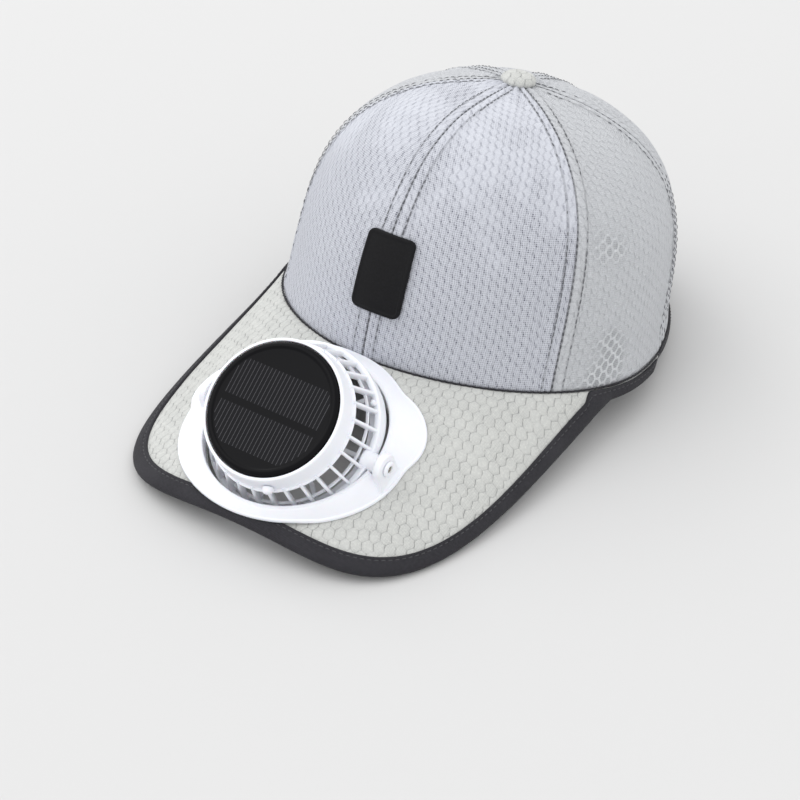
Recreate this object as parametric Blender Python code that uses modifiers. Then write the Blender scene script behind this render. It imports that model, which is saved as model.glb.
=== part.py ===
"""Sun cap with a solar fan set in its brim, resting on a table by itself.

Metres, +Z up, the front to -Y and the wearer's left to +X. The cap lies on the back of its lower
edge and on the two low sides of its brim, with its nose up.
"""
import functools
import math
from collections import namedtuple

import bmesh
import bpy
from mathutils import Matrix, Vector

MM = 0.001
GAP = 0.3 * MM

# Crown, measured in the plane of the head
CROWN_HALF_WIDTH = 84.5 * MM
CROWN_FRONT = 86.9 * MM
CROWN_BACK = 106.8 * MM
CROWN_HEIGHT = 100.0 * MM
CROWN_LEAN = 11.1 * MM
PLAN_POWER = 1.08
SWELL_POWER = 0.6
REST_TILT = math.radians(11.1)
REST_LIFT = 1.8 * MM
CLOTH = 1.4 * MM
PANEL_GAP = 0.6 * MM
TOP_HOLE = 5.0 * MM
PANEL_ROWS = 13
PANEL_STEP = math.radians(9.5)

FRONT_EDGE_RISE = 0.5 * MM
SIDE_EDGE_DIP = 5.3 * MM

Side = namedtuple("Side", "shoulder roundness swell edge_rise")
SIDES = (
    Side(shoulder=3.40, roundness=3.40, swell=0.017, edge_rise=FRONT_EDGE_RISE),
    Side(shoulder=3.73, roundness=1.71, swell=-0.036, edge_rise=-SIDE_EDGE_DIP),
    Side(shoulder=1.50, roundness=2.03, swell=-0.009, edge_rise=0.0),
)

Seam = namedtuple("Seam", "angle bow")
CENTRE_FRONT = Seam(angle=0.0, bow=0.0)
FRONT_SEAM = Seam(angle=math.radians(56.3), bow=math.radians(0.9))
BACK_SEAM = Seam(angle=math.radians(108.8), bow=math.radians(6.1))
CENTRE_BACK = Seam(angle=math.pi, bow=0.0)

Panel = namedtuple("Panel", "name near far material")

# Button and patch
BUTTON_RADIUS = 7.6 * MM
BUTTON_HEIGHT = 3.6 * MM
BUTTON_STEM_RADIUS = 3.6 * MM
BUTTON_LIFT = 0.6 * MM
BUTTON_STEM = 3.0 * MM
PATCH_WIDTH = 21.0 * MM
PATCH_HEIGHT = 36.0 * MM
PATCH_CORNER = 4.0 * MM
PATCH_THICKNESS = 1.4 * MM
PATCH_LOW_EDGE = 21.0 * MM
PATCH_CORNER_STEPS = 4
PATCH_RINGS = 3

# Brim, as it rests
BRIM_HALF_WIDTH = 83.1 * MM
BRIM_TIP = 174.4 * MM
BRIM_REAR = 20.5 * MM
BRIM_SQUARENESS = 4.04
BRIM_TIP_HEIGHT = 10.4 * MM
BRIM_EDGE_DROOP = 18.0 * MM
BRIM_DROOP_POWER = 2.14
BRIM_EDGE_RISE = 0.15
BRIM_BULGE = 4.5 * MM
BRIM_BULGE_POWER = 0.7
BRIM_THICKNESS = 1.6 * MM
BRIM_TAIL_END = math.radians(108.0)
BRIM_TAIL_SHARE = 0.5
BRIM_COLUMNS = 46
BRIM_ROWS = 7
CROWN_CLEARANCE = 0.5 * MM

# Bindings
BINDING_WIDTH = 8.0 * MM
BINDING_CLOTH = 0.7 * MM
BINDING_GAP = 0.4 * MM
BRIM_EDGE_GAP = 0.4 * MM
HEM_WIDTH = 4.5 * MM

# Fan: the tilt axis crosses the cap at this point
AXIS_FORWARD = 132.3 * MM
AXIS_HEIGHT = 31.8 * MM
RING_PITCH = math.radians(18.1)
HEAD_TILT = math.radians(38.7)

CAGE_RADIUS = 37.2 * MM
CAGE_BAND = 2.0 * MM
CAGE_BAND_TOP = 2.0 * MM
CAGE_BAND_BOTTOM = -1.5 * MM
CAGE_RIBS = 28
RIB_WIDTH = 1.4 * MM
RIB_DEPTH = 2.2 * MM
HOUSING_RADIUS = 30.5 * MM
HOUSING_FLARE = 0.9 * MM
HOUSING_TOP = 25.2 * MM
HOUSING_BOTTOM = 16.0 * MM
HOUSING_WALL = 1.4 * MM
PANEL_SEAT = 22.0 * MM
SEAT_PLATE = 2.0 * MM
SOLAR_RISE = 4.0 * MM
SOLAR_EDGE = 2.0 * MM

SWING_CLEARANCE = 1.4 * MM
LIP_WIDTH = 1.8 * MM
FLANGE_THICKNESS = 1.5 * MM
FLANGE_EDGE_ROUND = 0.6 * MM
FLANGE_MIDDLE_DROP = 0.47
FLANGE_STEP_MARGIN = 4.0 * MM
FLANGE_HALF_WIDTH = 51.0 * MM
FLANGE_HALF_LENGTH = 46.0 * MM
FLANGE_SIDE_SHIFT = -3.6 * MM
FLANGE_BACKSET = 1.8 * MM
Lobe = namedtuple("Lobe", "angle reach radius")
LOBES = (
    Lobe(angle=math.radians(26.1), reach=FLANGE_HALF_WIDTH - 17.3 * MM, radius=21.5 * MM),
    Lobe(angle=math.radians(169.4), reach=FLANGE_HALF_WIDTH - 8.9 * MM, radius=15.5 * MM),
)
FLANGE_STATIONS = 64
BRIM_RELIEF = 0.7 * MM
HOLE_CLEARANCE = 0.2 * MM
HOLE_DEPTH = 40.0 * MM

EAR_THICKNESS = 3.5 * MM
EAR_RADIUS = 6.0 * MM
EAR_FOOT = 8.2 * MM
EAR_FOOT_HALF_WIDTH = 7.5 * MM
EAR_STEPS = 13
EAR_OFFSET = 3.4 * MM
BOSS_RADIUS = 3.8 * MM
BOSS_CLEARANCE = 0.7 * MM
BOSS_ROOT = 1.2 * MM
SPOT_DEPTH = 0.2 * MM
SCREW_RADIUS = 1.7 * MM
SCREW_HEAD_RADIUS = 3.3 * MM
SCREW_HEAD_HEIGHT = 1.4 * MM
SCREW_DEPTH = 4.5 * MM

MOTOR_RADIUS = 7.0 * MM
MOTOR_HEIGHT = 6.5 * MM
SHAFT_RADIUS = 1.0 * MM
SHAFT_LENGTH = 7.0 * MM
HUB_RADIUS = 8.5 * MM
HUB_HEIGHT = 9.0 * MM
HUB_GAP = 0.8 * MM
HUB_ROUND = 1.0 * MM
HUB_BLADES = 7
BLADE_RADIUS = 27.0 * MM
BLADE_CHORD = 11.0 * MM
BLADE_THICKNESS = 1.2 * MM
BLADE_PITCH = math.radians(35.0)
BLADE_WASHOUT = math.radians(12.0)
BLADE_STEPS = 4

GUARD_BAND = 2.4 * MM
GUARD_SPOKES = 8
GUARD_SPOKE_WIDTH = 1.8 * MM
GUARD_HUB_RADIUS = 9.0 * MM
KNOB_RADIUS = 2.3 * MM
KNOB_LENGTH = 2.6 * MM
KNOB_ANGLE = math.radians(22.0)
KNOB_HEIGHT = 19.5 * MM

FRAME_SHIFT = (BRIM_TIP - CROWN_BACK * math.cos(REST_TILT) - GAP - BINDING_CLOTH) / 2
ROUND_STEPS = 28
LARGE_STEPS = 32
SMALL_STEPS = 14
HOLE_STEPS = 42

Finish = namedtuple("Finish", "colour roughness metallic")
FINISHES = {
    "lined_mesh": Finish((0.60, 0.62, 0.71), 0.85, 0.0),
    "open_mesh": Finish((0.50, 0.51, 0.56), 0.85, 0.0),
    "brim_cloth": Finish((0.60, 0.61, 0.58), 0.85, 0.0),
    "binding_cloth": Finish((0.045, 0.045, 0.052), 0.9, 0.0),
    "patch_rubber": Finish((0.02, 0.02, 0.022), 0.55, 0.0),
    "white_plastic": Finish((0.86, 0.87, 0.90), 0.35, 0.0),
    "smoke_plastic": Finish((0.55, 0.53, 0.49), 0.3, 0.0),
    "solar_glass": Finish((0.012, 0.012, 0.014), 0.12, 0.0),
    "screw_steel": Finish((0.60, 0.60, 0.60), 0.3, 1.0),
}


# Building blocks

def make_material(name):
    finish = FINISHES[name]
    material = bpy.data.materials.new(name)
    material.use_nodes = True
    shader = material.node_tree.nodes["Principled BSDF"]
    shader.inputs["Base Color"].default_value = (*finish.colour, 1.0)
    shader.inputs["Roughness"].default_value = finish.roughness
    shader.inputs["Metallic"].default_value = finish.metallic
    material.diffuse_color = (*finish.colour, 1.0)
    return material


def add_object(name, mesh, material, parent):
    obj = bpy.data.objects.new(name, mesh)
    PARTS.objects.link(obj)
    obj.parent = parent
    mesh.materials.append(bpy.data.materials.get(material) or make_material(material))
    mesh.shade_smooth()
    mesh.set_sharp_from_angle(angle=math.radians(35))
    return obj


def add_tool(name, mesh, parent):
    obj = bpy.data.objects.new(name, mesh)
    TOOLS.objects.link(obj)
    obj.parent = parent
    obj.hide_render = True
    obj.display_type = "WIRE"
    return obj


def add_empty(name, parent, place, tilt):
    empty = bpy.data.objects.new(name, None)
    PARTS.objects.link(empty)
    empty.parent = parent
    empty.location = place
    empty.rotation_euler = (tilt, 0.0, 0.0)
    return empty


def grid_mesh(name, rows, closed_round=False, capped=False):
    """A skin through rows of points; round rows join end to end, and caps close the two ends."""
    work = bmesh.new()
    lines = [[work.verts.new(point) for point in row] for row in rows]
    count = len(rows[0])
    reach = count if closed_round else count - 1
    for low, high in zip(lines, lines[1:]):
        for i in range(reach):
            j = (i + 1) % count
            work.faces.new((low[i], low[j], high[j], high[i]))
    if capped:
        work.faces.new(reversed(lines[0]))
        work.faces.new(lines[-1])
    return finish_mesh(name, work)


def loop_mesh(name, sections):
    """A closed tube through sections that run round and meet again at the start."""
    work = bmesh.new()
    lines = [[work.verts.new(point) for point in section] for section in sections]
    count = len(sections[0])
    for s, line in enumerate(lines):
        following = lines[(s + 1) % len(lines)]
        for i in range(count):
            j = (i + 1) % count
            work.faces.new((line[i], following[i], following[j], line[j]))
    return finish_mesh(name, work)


def finish_mesh(name, work):
    """Turns the faces outwards; a closed shape is judged by the sign of its volume."""
    bmesh.ops.recalc_face_normals(work, faces=work.faces)
    if all(edge.is_manifold for edge in work.edges) and work.calc_volume(signed=True) < 0.0:
        bmesh.ops.reverse_faces(work, faces=work.faces)
    mesh = bpy.data.meshes.new(name)
    work.to_mesh(mesh)
    work.free()
    return mesh


def turned_mesh(name, profile, steps=ROUND_STEPS):
    """A solid turned about Z from (radius, height) points that start and end on the axis or meet."""
    work = bmesh.new()
    verts = [work.verts.new((radius, 0.0, height)) for radius, height in profile]
    edges = [work.edges.new(pair) for pair in zip(verts, verts[1:])]
    if profile[0][0] > 0.0:
        edges.append(work.edges.new((verts[-1], verts[0])))
    bmesh.ops.spin(work, geom=verts + edges, axis=(0, 0, 1), cent=(0, 0, 0), steps=steps, angle=math.tau)
    bmesh.ops.remove_doubles(work, verts=work.verts, dist=0.00001)
    return finish_mesh(name, work)


def cylinder_mesh(name, radius, start, end, steps=ROUND_STEPS):
    """A cylinder along +X between two places; no corner or flat of it lies square to the plane of its axis."""
    work = bmesh.new()
    turn = Matrix.Rotation(math.pi / 2, 4, "Y") @ Matrix.Rotation(math.pi / steps / 2, 4, "Z")
    place = Matrix.Translation(((start + end) / 2, 0.0, 0.0)) @ turn
    bmesh.ops.create_cone(
        work, cap_ends=True, segments=steps, radius1=radius, radius2=radius, depth=abs(end - start), matrix=place
    )
    return finish_mesh(name, work)


def box_into(work, size, matrix):
    """Adds a box of the given size, centred where the matrix puts it."""
    bmesh.ops.create_cube(work, size=1.0, matrix=matrix @ Matrix.Diagonal((*size, 1.0)))


def combine(obj, tool, operation):
    modifier = obj.modifiers.new(f"{operation.lower()}_{tool.name}", "BOOLEAN")
    modifier.operation = operation
    modifier.object = tool
    modifier.solver = "EXACT"


def solidify(obj, thickness, offset):
    modifier = obj.modifiers.new("cloth", "SOLIDIFY")
    modifier.thickness = thickness
    modifier.offset = offset


def signed_power(value, power):
    return math.copysign(abs(value) ** power, value)


# Crown

def at_rest(point):
    """Turns a point of the head's plane nose up, about the back of the crown's lower edge."""
    lift = CROWN_BACK * math.sin(REST_TILT) + REST_LIFT
    return Matrix.Rotation(-REST_TILT, 3, "X") @ point + Vector((0.0, 0.0, lift))


def side_mix(theta, column):
    """A value of SIDES for a direction round the head, where 0 is the front."""
    front = max(math.cos(theta), 0.0) ** 2
    back = max(-math.cos(theta), 0.0) ** 2
    shares = (front, 1.0 - front - back, back)
    return sum(share * getattr(side, column) for share, side in zip(shares, SIDES))


def crown_at(theta, reach, height):
    """The crown's outer face, at a share of its reach and of its height."""
    reach *= 1.0 + side_mix(theta, "swell") * math.sin(math.pi * height ** SWELL_POWER)
    length = CROWN_FRONT if math.cos(theta) > 0.0 else CROWN_BACK
    x = CROWN_HALF_WIDTH * signed_power(math.sin(theta), PLAN_POWER) * reach
    y = -length * signed_power(math.cos(theta), PLAN_POWER) * reach + CROWN_LEAN * height
    z = CROWN_HEIGHT * height + side_mix(theta, "edge_rise") * (1.0 - height)
    return at_rest(Vector((x, y, z)))


@functools.lru_cache(maxsize=4096)
def crown_profile(theta):
    """Points up the crown in one direction, from its lower edge to its top, with their lengths."""
    steps = 120
    points = []
    for i in range(steps + 1):
        turn = math.pi / 2 * i / steps
        height = math.sin(turn) ** (2.0 / side_mix(theta, "shoulder"))
        reach = max(math.cos(turn), 0.0) ** (2.0 / side_mix(theta, "roundness"))
        points.append(crown_at(theta, reach, height))
    lengths = [0.0]
    for before, after in zip(points, points[1:]):
        lengths.append(lengths[-1] + (after - before).length)
    return points, lengths


def crown_up(theta, length):
    """The point of the crown's outer face that lies a length of cloth above the lower edge."""
    points, lengths = crown_profile(theta)
    for i in range(1, len(lengths)):
        if lengths[i] >= length:
            share = (length - lengths[i - 1]) / max(lengths[i] - lengths[i - 1], 1e-9)
            return points[i - 1].lerp(points[i], max(share, 0.0))
    return points[-1]


def crown_normal(theta, length):
    step = 0.5 * MM
    turn = step / CROWN_HALF_WIDTH * 4.0
    across = crown_up(theta + turn, length) - crown_up(theta - turn, length)
    upward = crown_up(theta, length + step) - crown_up(theta, max(length - step, 0.0))
    return across.cross(upward).normalized()


def seam_angle(seam, share):
    return seam.angle + seam.bow * math.sin(math.pi * share)


def panel_columns(near, far, share):
    """The angles of a panel's columns of points, at a share of the way up the crown."""
    angles = [seam_angle(seam, share) for seam in (near, far)]
    middle = sum(angles) / 2
    length = share * (crown_profile(middle)[1][-1] - TOP_HOLE)
    radius = max((crown_up(middle, length) - crown_at(0.0, 0.0, 1.0)).xy.length, TOP_HOLE)
    inset = (PANEL_GAP / 2 / radius) ** (1.0 / PLAN_POWER)
    count = max(round((far.angle - near.angle) / PANEL_STEP), 2)
    start = angles[0] + inset
    step = (angles[1] - angles[0] - 2 * inset) / count
    return [start + step * j for j in range(count + 1)]


def panel_rows(near, far, side):
    """A panel's rows of points, between two seams, on the wearer's left (side 1) or right (-1)."""
    rows = []
    for i in range(PANEL_ROWS + 1):
        share = i / PANEL_ROWS
        row = []
        for theta in panel_columns(near, far, share):
            length = share * (crown_profile(theta)[1][-1] - TOP_HOLE)
            row.append(crown_up(side * theta, length))
        rows.append(row if side > 0 else row[::-1])
    return rows


def build_panels(cap):
    panels = (
        Panel("front_panel", CENTRE_FRONT, FRONT_SEAM, "lined_mesh"),
        Panel("side_panel", FRONT_SEAM, BACK_SEAM, "open_mesh"),
        Panel("back_panel", BACK_SEAM, CENTRE_BACK, "open_mesh"),
    )
    for panel in panels:
        for side, hand in ((1, "left"), (-1, "right")):
            name = f"{panel.name}_{hand}"
            mesh = grid_mesh(name, panel_rows(panel.near, panel.far, side))
            obj = add_object(name, mesh, panel.material, cap)
            solidify(obj, CLOTH, -1.0)


def build_button(cap):
    """A covered button on the crown's top, with a stem through the hole where the panels meet."""
    profile = [
        (0.0, BUTTON_HEIGHT),
        (BUTTON_RADIUS * 0.55, BUTTON_HEIGHT * 0.94),
        (BUTTON_RADIUS * 0.86, BUTTON_HEIGHT * 0.66),
        (BUTTON_RADIUS, BUTTON_HEIGHT * 0.25),
        (BUTTON_RADIUS, 0.0),
        (BUTTON_STEM_RADIUS, 0.0),
        (BUTTON_STEM_RADIUS, -BUTTON_STEM),
        (0.0, -BUTTON_STEM),
    ]
    mesh = turned_mesh("top_button", profile, 22)
    obj = add_object("top_button", mesh, "lined_mesh", cap)
    obj.location = crown_at(0.0, 0.0, 1.0) + Vector((0.0, 0.0, BUTTON_LIFT))
    obj.rotation_euler = (-REST_TILT, 0.0, 0.0)


def build_patch(cap):
    """A rounded rubber patch over the centre seam, which follows the crown's face."""
    half_width = PATCH_WIDTH / 2 - PATCH_CORNER
    half_height = PATCH_HEIGHT / 2 - PATCH_CORNER
    outline = []
    for corner, (sx, sy) in enumerate(((1, 1), (-1, 1), (-1, -1), (1, -1))):
        for k in range(PATCH_CORNER_STEPS + 1):
            turn = math.pi / 2 * (corner + k / PATCH_CORNER_STEPS)
            x = sx * half_width + PATCH_CORNER * math.cos(turn)
            y = sy * half_height + PATCH_CORNER * math.sin(turn)
            outline.append((x, y))
    lift = GAP * 2
    work = bmesh.new()

    def on_crown(x, y):
        length = PATCH_LOW_EDGE + PATCH_HEIGHT / 2 + y
        radius = CROWN_HALF_WIDTH
        theta = signed_power(x / radius, 1.0 / PLAN_POWER)
        return crown_up(theta, length) + crown_normal(theta, length) * lift

    rings = []
    for k in range(1, PATCH_RINGS + 1):
        share = k / PATCH_RINGS
        rings.append([work.verts.new(on_crown(x * share, y * share)) for x, y in outline])
    count = len(outline)
    middle = work.verts.new(on_crown(0.0, 0.0))
    for i in range(count):
        j = (i + 1) % count
        work.faces.new((middle, rings[0][i], rings[0][j]))
        for inner, outer in zip(rings, rings[1:]):
            work.faces.new((inner[i], outer[i], outer[j], inner[j]))
    mesh = bpy.data.meshes.new("front_patch")
    work.to_mesh(mesh)
    work.free()
    obj = add_object("front_patch", mesh, "patch_rubber", cap)
    solidify(obj, PATCH_THICKNESS, 1.0)


# Brim

def plan_direction(point):
    return math.atan2(point.x, -point.y)


@functools.lru_cache(maxsize=4096)
def crown_foot(alpha):
    """The crown's lower edge in a plan direction, where 0 is the front."""
    low, high = (0.0, math.pi)
    for _ in range(40):
        theta = (low + high) / 2
        if plan_direction(crown_at(theta, 1.0, 0.0)) < abs(alpha):
            low = theta
        else:
            high = theta
    point = crown_at((low + high) / 2, 1.0, 0.0)
    point.x = math.copysign(point.x, alpha)
    return point


def outline_point(alpha):
    """The brim's own outline in a plan direction."""
    low, high = (0.0, 2.0 * BRIM_TIP)
    for _ in range(48):
        radius = (low + high) / 2
        across = radius * abs(math.sin(alpha)) / BRIM_HALF_WIDTH
        along = max(radius * math.cos(alpha) - BRIM_REAR, 0.0) / (BRIM_TIP - BRIM_REAR)
        if across ** BRIM_SQUARENESS + along ** BRIM_SQUARENESS < 1.0:
            low = radius
        else:
            high = radius
    across = low * abs(math.sin(alpha)) / BRIM_HALF_WIDTH
    y = -low * math.cos(alpha)
    droop = BRIM_EDGE_DROOP * across ** BRIM_DROOP_POWER
    z = BRIM_TIP_HEIGHT - droop + BRIM_EDGE_RISE * (y + BRIM_TIP)
    return Vector((low * math.sin(alpha), y, z))


@functools.lru_cache(maxsize=4096)
def brim_span(alpha):
    """The brim's inner and outer edge in a plan direction; past its sides it tapers to a tail."""
    inner = crown_foot(alpha)
    side_angle = math.atan2(BRIM_HALF_WIDTH, BRIM_REAR)
    if abs(alpha) <= side_angle:
        return inner, outline_point(alpha)
    edge = outline_point(side_angle)
    foot = crown_foot(side_angle)
    share = min((abs(alpha) - side_angle) / (BRIM_TAIL_END - side_angle), 1.0)
    size = 1.0 - (1.0 - BRIM_TAIL_SHARE) * share
    outward = Vector((math.sin(alpha), -math.cos(alpha), 0.0)) * (edge.xy.length - foot.xy.length)
    return inner, inner + (outward + Vector((0.0, 0.0, edge.z - foot.z))) * size


def brim_point(alpha, share):
    """The middle of the brim's cloth, at a share of the way from the crown to the outer edge."""
    inner, outer = brim_span(alpha)
    point = inner.lerp(outer, share)
    rise = BRIM_BULGE * math.sin(math.pi * share ** BRIM_BULGE_POWER) if 0.0 < share < 1.0 else 0.0
    point.z += rise * max(math.cos(alpha), 0.0) ** 2
    return point


def brim_height(x, y):
    alpha = math.atan2(x, -y)
    inner, outer = brim_span(alpha)
    radius = math.hypot(x, y)
    share = (radius - inner.xy.length) / (outer.xy.length - inner.xy.length)
    return brim_point(alpha, min(max(share, 0.0), 1.0)).z


def brim_directions():
    return [BRIM_TAIL_END * (2.0 * i / BRIM_COLUMNS - 1.0) for i in range(BRIM_COLUMNS + 1)]


def binding_inset():
    return BINDING_CLOTH + BINDING_GAP + BRIM_EDGE_GAP


def build_brim(cap, ring_frame):
    rows = []
    for k in range(BRIM_ROWS + 1):
        row = []
        for alpha in brim_directions():
            inner, outer = brim_span(alpha)
            span = (outer - inner).length
            start = CROWN_CLEARANCE / span
            end = 1.0 - binding_inset() / span
            row.append(brim_point(alpha, start + (end - start) * k / BRIM_ROWS))
        rows.append(row[::-1])
    obj = add_object("brim", grid_mesh("brim", rows), "brim_cloth", cap)
    solidify(obj, BRIM_THICKNESS, 0.0)
    radius = CAGE_RADIUS + HOLE_CLEARANCE
    profile = [(0.0, HOLE_DEPTH), (radius, HOLE_DEPTH), (radius, -HOLE_DEPTH), (0.0, -HOLE_DEPTH)]
    combine(obj, add_tool("brim_hole", turned_mesh("brim_hole", profile, HOLE_STEPS), ring_frame), "DIFFERENCE")


def build_brim_binding(cap):
    """Cloth folded round the brim's edge: a section with an outer and an inner fold, run along it."""
    inner_face = BRIM_THICKNESS / 2 + BINDING_GAP
    outer_face = inner_face + BINDING_CLOTH
    fold = binding_inset() - BINDING_GAP
    sections = []
    for alpha in brim_directions():
        inner, outer = brim_span(alpha)
        span = (outer - inner).length
        width = min(BINDING_WIDTH, span - CROWN_CLEARANCE - GAP)
        step = math.radians(0.5)
        along = brim_span(alpha + step)[1] - brim_span(alpha - step)[1]

        def section_point(inset, height):
            place = brim_point(alpha, 1.0 - inset / span)
            inward = brim_point(alpha, 1.0 - (inset + 0.5 * MM) / span) - place
            return place + along.cross(inward).normalized() * height

        outside = [
            (width, outer_face), (fold, outer_face), (0.25 * fold, 0.62 * outer_face), (0.0, 0.0),
            (0.25 * fold, -0.62 * outer_face), (fold, -outer_face), (width, -outer_face),
        ]
        inside = [(width, -inner_face), (fold, -inner_face), (fold, inner_face), (width, inner_face)]
        sections.append([section_point(inset, height) for inset, height in outside + inside])
    mesh = grid_mesh("brim_binding", sections, closed_round=True, capped=True)
    add_object("brim_binding", mesh, "binding_cloth", cap)


def build_hem(cap):
    """Cloth folded round the lower edge of the two back panels."""
    outer_face = GAP + BINDING_CLOTH
    left = panel_columns(BACK_SEAM, CENTRE_BACK, 0.0)
    sections = []
    for theta in left + [math.tau - angle for angle in reversed(left)]:
        foot = crown_at(theta, 1.0, 0.0)
        upward = (crown_up(theta, 2.0 * MM) - foot).normalized()
        normal = crown_normal(theta, 1.0 * MM)
        top = HEM_WIDTH - REST_LIFT
        outline = [
            (top, outer_face), (0.0, outer_face), (-0.75 * REST_LIFT, 0.6 * outer_face),
            (-REST_LIFT, -0.2 * CLOTH), (-REST_LIFT, -0.8 * CLOTH),
            (-0.75 * REST_LIFT, -CLOTH - 0.6 * outer_face), (0.0, -CLOTH - outer_face),
            (top, -CLOTH - outer_face), (top, -CLOTH - GAP), (-GAP, -CLOTH - GAP), (-GAP, GAP), (top, GAP),
        ]
        section = []
        for rise, out in outline:
            base = crown_up(theta, rise) if rise > 0.0 else foot + upward * rise
            section.append(base + normal * out)
        sections.append(section)
    mesh = grid_mesh("crown_hem", sections, closed_round=True, capped=True)
    add_object("crown_hem", mesh, "binding_cloth", cap)


# Fan ring, fixed in the brim

def opening_radius():
    return CAGE_RADIUS + SWING_CLEARANCE


def ring_to_cap(point):
    turn = Matrix.Rotation(RING_PITCH, 3, "X")
    return turn @ point + Vector((0.0, -AXIS_FORWARD, AXIS_HEIGHT))


def seat_height(x, y):
    """The height over the ring's plane at which the flange clears the brim and its binding."""
    height = 0.0
    for _ in range(6):
        point = ring_to_cap(Vector((x, y, height)))
        outer = brim_span(math.atan2(point.x, -point.y))[1]
        near_edge = outer.xy.length - point.xy.length < BINDING_WIDTH + FLANGE_STEP_MARGIN
        clear = BRIM_THICKNESS / 2 + BRIM_RELIEF + (BINDING_GAP + BINDING_CLOTH if near_edge else 0.0)
        height += (brim_height(point.x, point.y) + clear - point.z) * math.cos(RING_PITCH)
    return height


def flange_radius(turn):
    """The flange's outline about its own middle: an oval with two round lobes."""
    radius = 1.0 / math.hypot(math.cos(turn) / FLANGE_HALF_WIDTH, math.sin(turn) / FLANGE_HALF_LENGTH)
    for lobe in LOBES:
        centre = Vector((lobe.reach * math.cos(lobe.angle), lobe.reach * math.sin(lobe.angle)))
        along = centre.x * math.cos(turn) + centre.y * math.sin(turn)
        room = along ** 2 - centre.length_squared + lobe.radius ** 2
        if along > 0.0 and room > 0.0:
            radius = max(radius, along + math.sqrt(room))
    return radius


def ear_mesh(name, near, far):
    """A pivot ear: round above, with a foot that widens down into the flange."""
    outline = []
    for k in range(EAR_STEPS + 1):
        turn = math.pi * k / EAR_STEPS
        outline.append((EAR_RADIUS * math.cos(turn), EAR_RADIUS * math.sin(turn)))
    outline += [(-EAR_FOOT_HALF_WIDTH, -EAR_FOOT), (EAR_FOOT_HALF_WIDTH, -EAR_FOOT)]
    sections = [[Vector((x, y, z)) for y, z in outline] for x in (near, far)]
    return grid_mesh(name, sections, closed_round=True, capped=True)


def build_ring(ring_frame):
    """The ring: a lip round the opening and a flange that slopes down onto the brim."""
    inner = opening_radius()
    sections = []
    for k in range(FLANGE_STATIONS):
        turn = math.tau * k / FLANGE_STATIONS
        direction = Vector((math.cos(turn), math.sin(turn)))
        rim = direction * flange_radius(turn) + Vector((FLANGE_SIDE_SHIFT, FLANGE_BACKSET))
        lip = direction * (inner + LIP_WIDTH)
        bore = direction * inner
        seat = seat_height(*rim)
        root = seat_height(*bore)
        middle = lip.lerp(rim, 0.5)
        lip_top = max(0.0, root + FLANGE_THICKNESS, seat_height(*lip) + FLANGE_THICKNESS)
        middle_top = max(FLANGE_MIDDLE_DROP * (seat + FLANGE_THICKNESS), seat_height(*middle) + FLANGE_THICKNESS)
        edge = rim * (1.0 - FLANGE_EDGE_ROUND / rim.length)
        sections.append([
            Vector((*bore, lip_top)), Vector((*lip, lip_top)), Vector((*middle, middle_top)),
            Vector((*edge, seat + FLANGE_THICKNESS)), Vector((*rim, seat + FLANGE_THICKNESS * 0.6)),
            Vector((*rim, seat)), Vector((*middle, max(seat, seat_height(*middle)))),
            Vector((*bore, root)),
        ])
    obj = add_object("fan_ring", loop_mesh("fan_ring", sections), "white_plastic", ring_frame)
    start = inner + EAR_OFFSET
    for side, hand in ((1, "left"), (-1, "right")):
        near = side * start
        far = side * (start + EAR_THICKNESS)
        saddle = cylinder_mesh(
            f"saddle_{hand}", BOSS_RADIUS + BOSS_CLEARANCE, side * (CAGE_RADIUS - BOSS_ROOT), near + side * SPOT_DEPTH, 24
        )
        combine(obj, add_tool(f"saddle_{hand}", saddle, ring_frame), "DIFFERENCE")
        combine(obj, add_tool(f"ear_{hand}", ear_mesh(f"ear_{hand}", near, far), ring_frame), "UNION")
        bore = cylinder_mesh(f"ear_bore_{hand}", SCREW_RADIUS + GAP, near - side * MM, far + side * MM, SMALL_STEPS)
        combine(obj, add_tool(f"ear_bore_{hand}", bore, ring_frame), "DIFFERENCE")


# Fan head, which tilts

def cone_radius(height):
    """The ribs' middle line, from the housing's lower edge out to the cage's band."""
    share = (HOUSING_BOTTOM + MM - height) / (HOUSING_BOTTOM + MM - CAGE_BAND_TOP / 2)
    start = HOUSING_RADIUS + HOUSING_FLARE - HOUSING_WALL / 2
    return start + (CAGE_RADIUS - CAGE_BAND / 2 - start) * share


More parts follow.
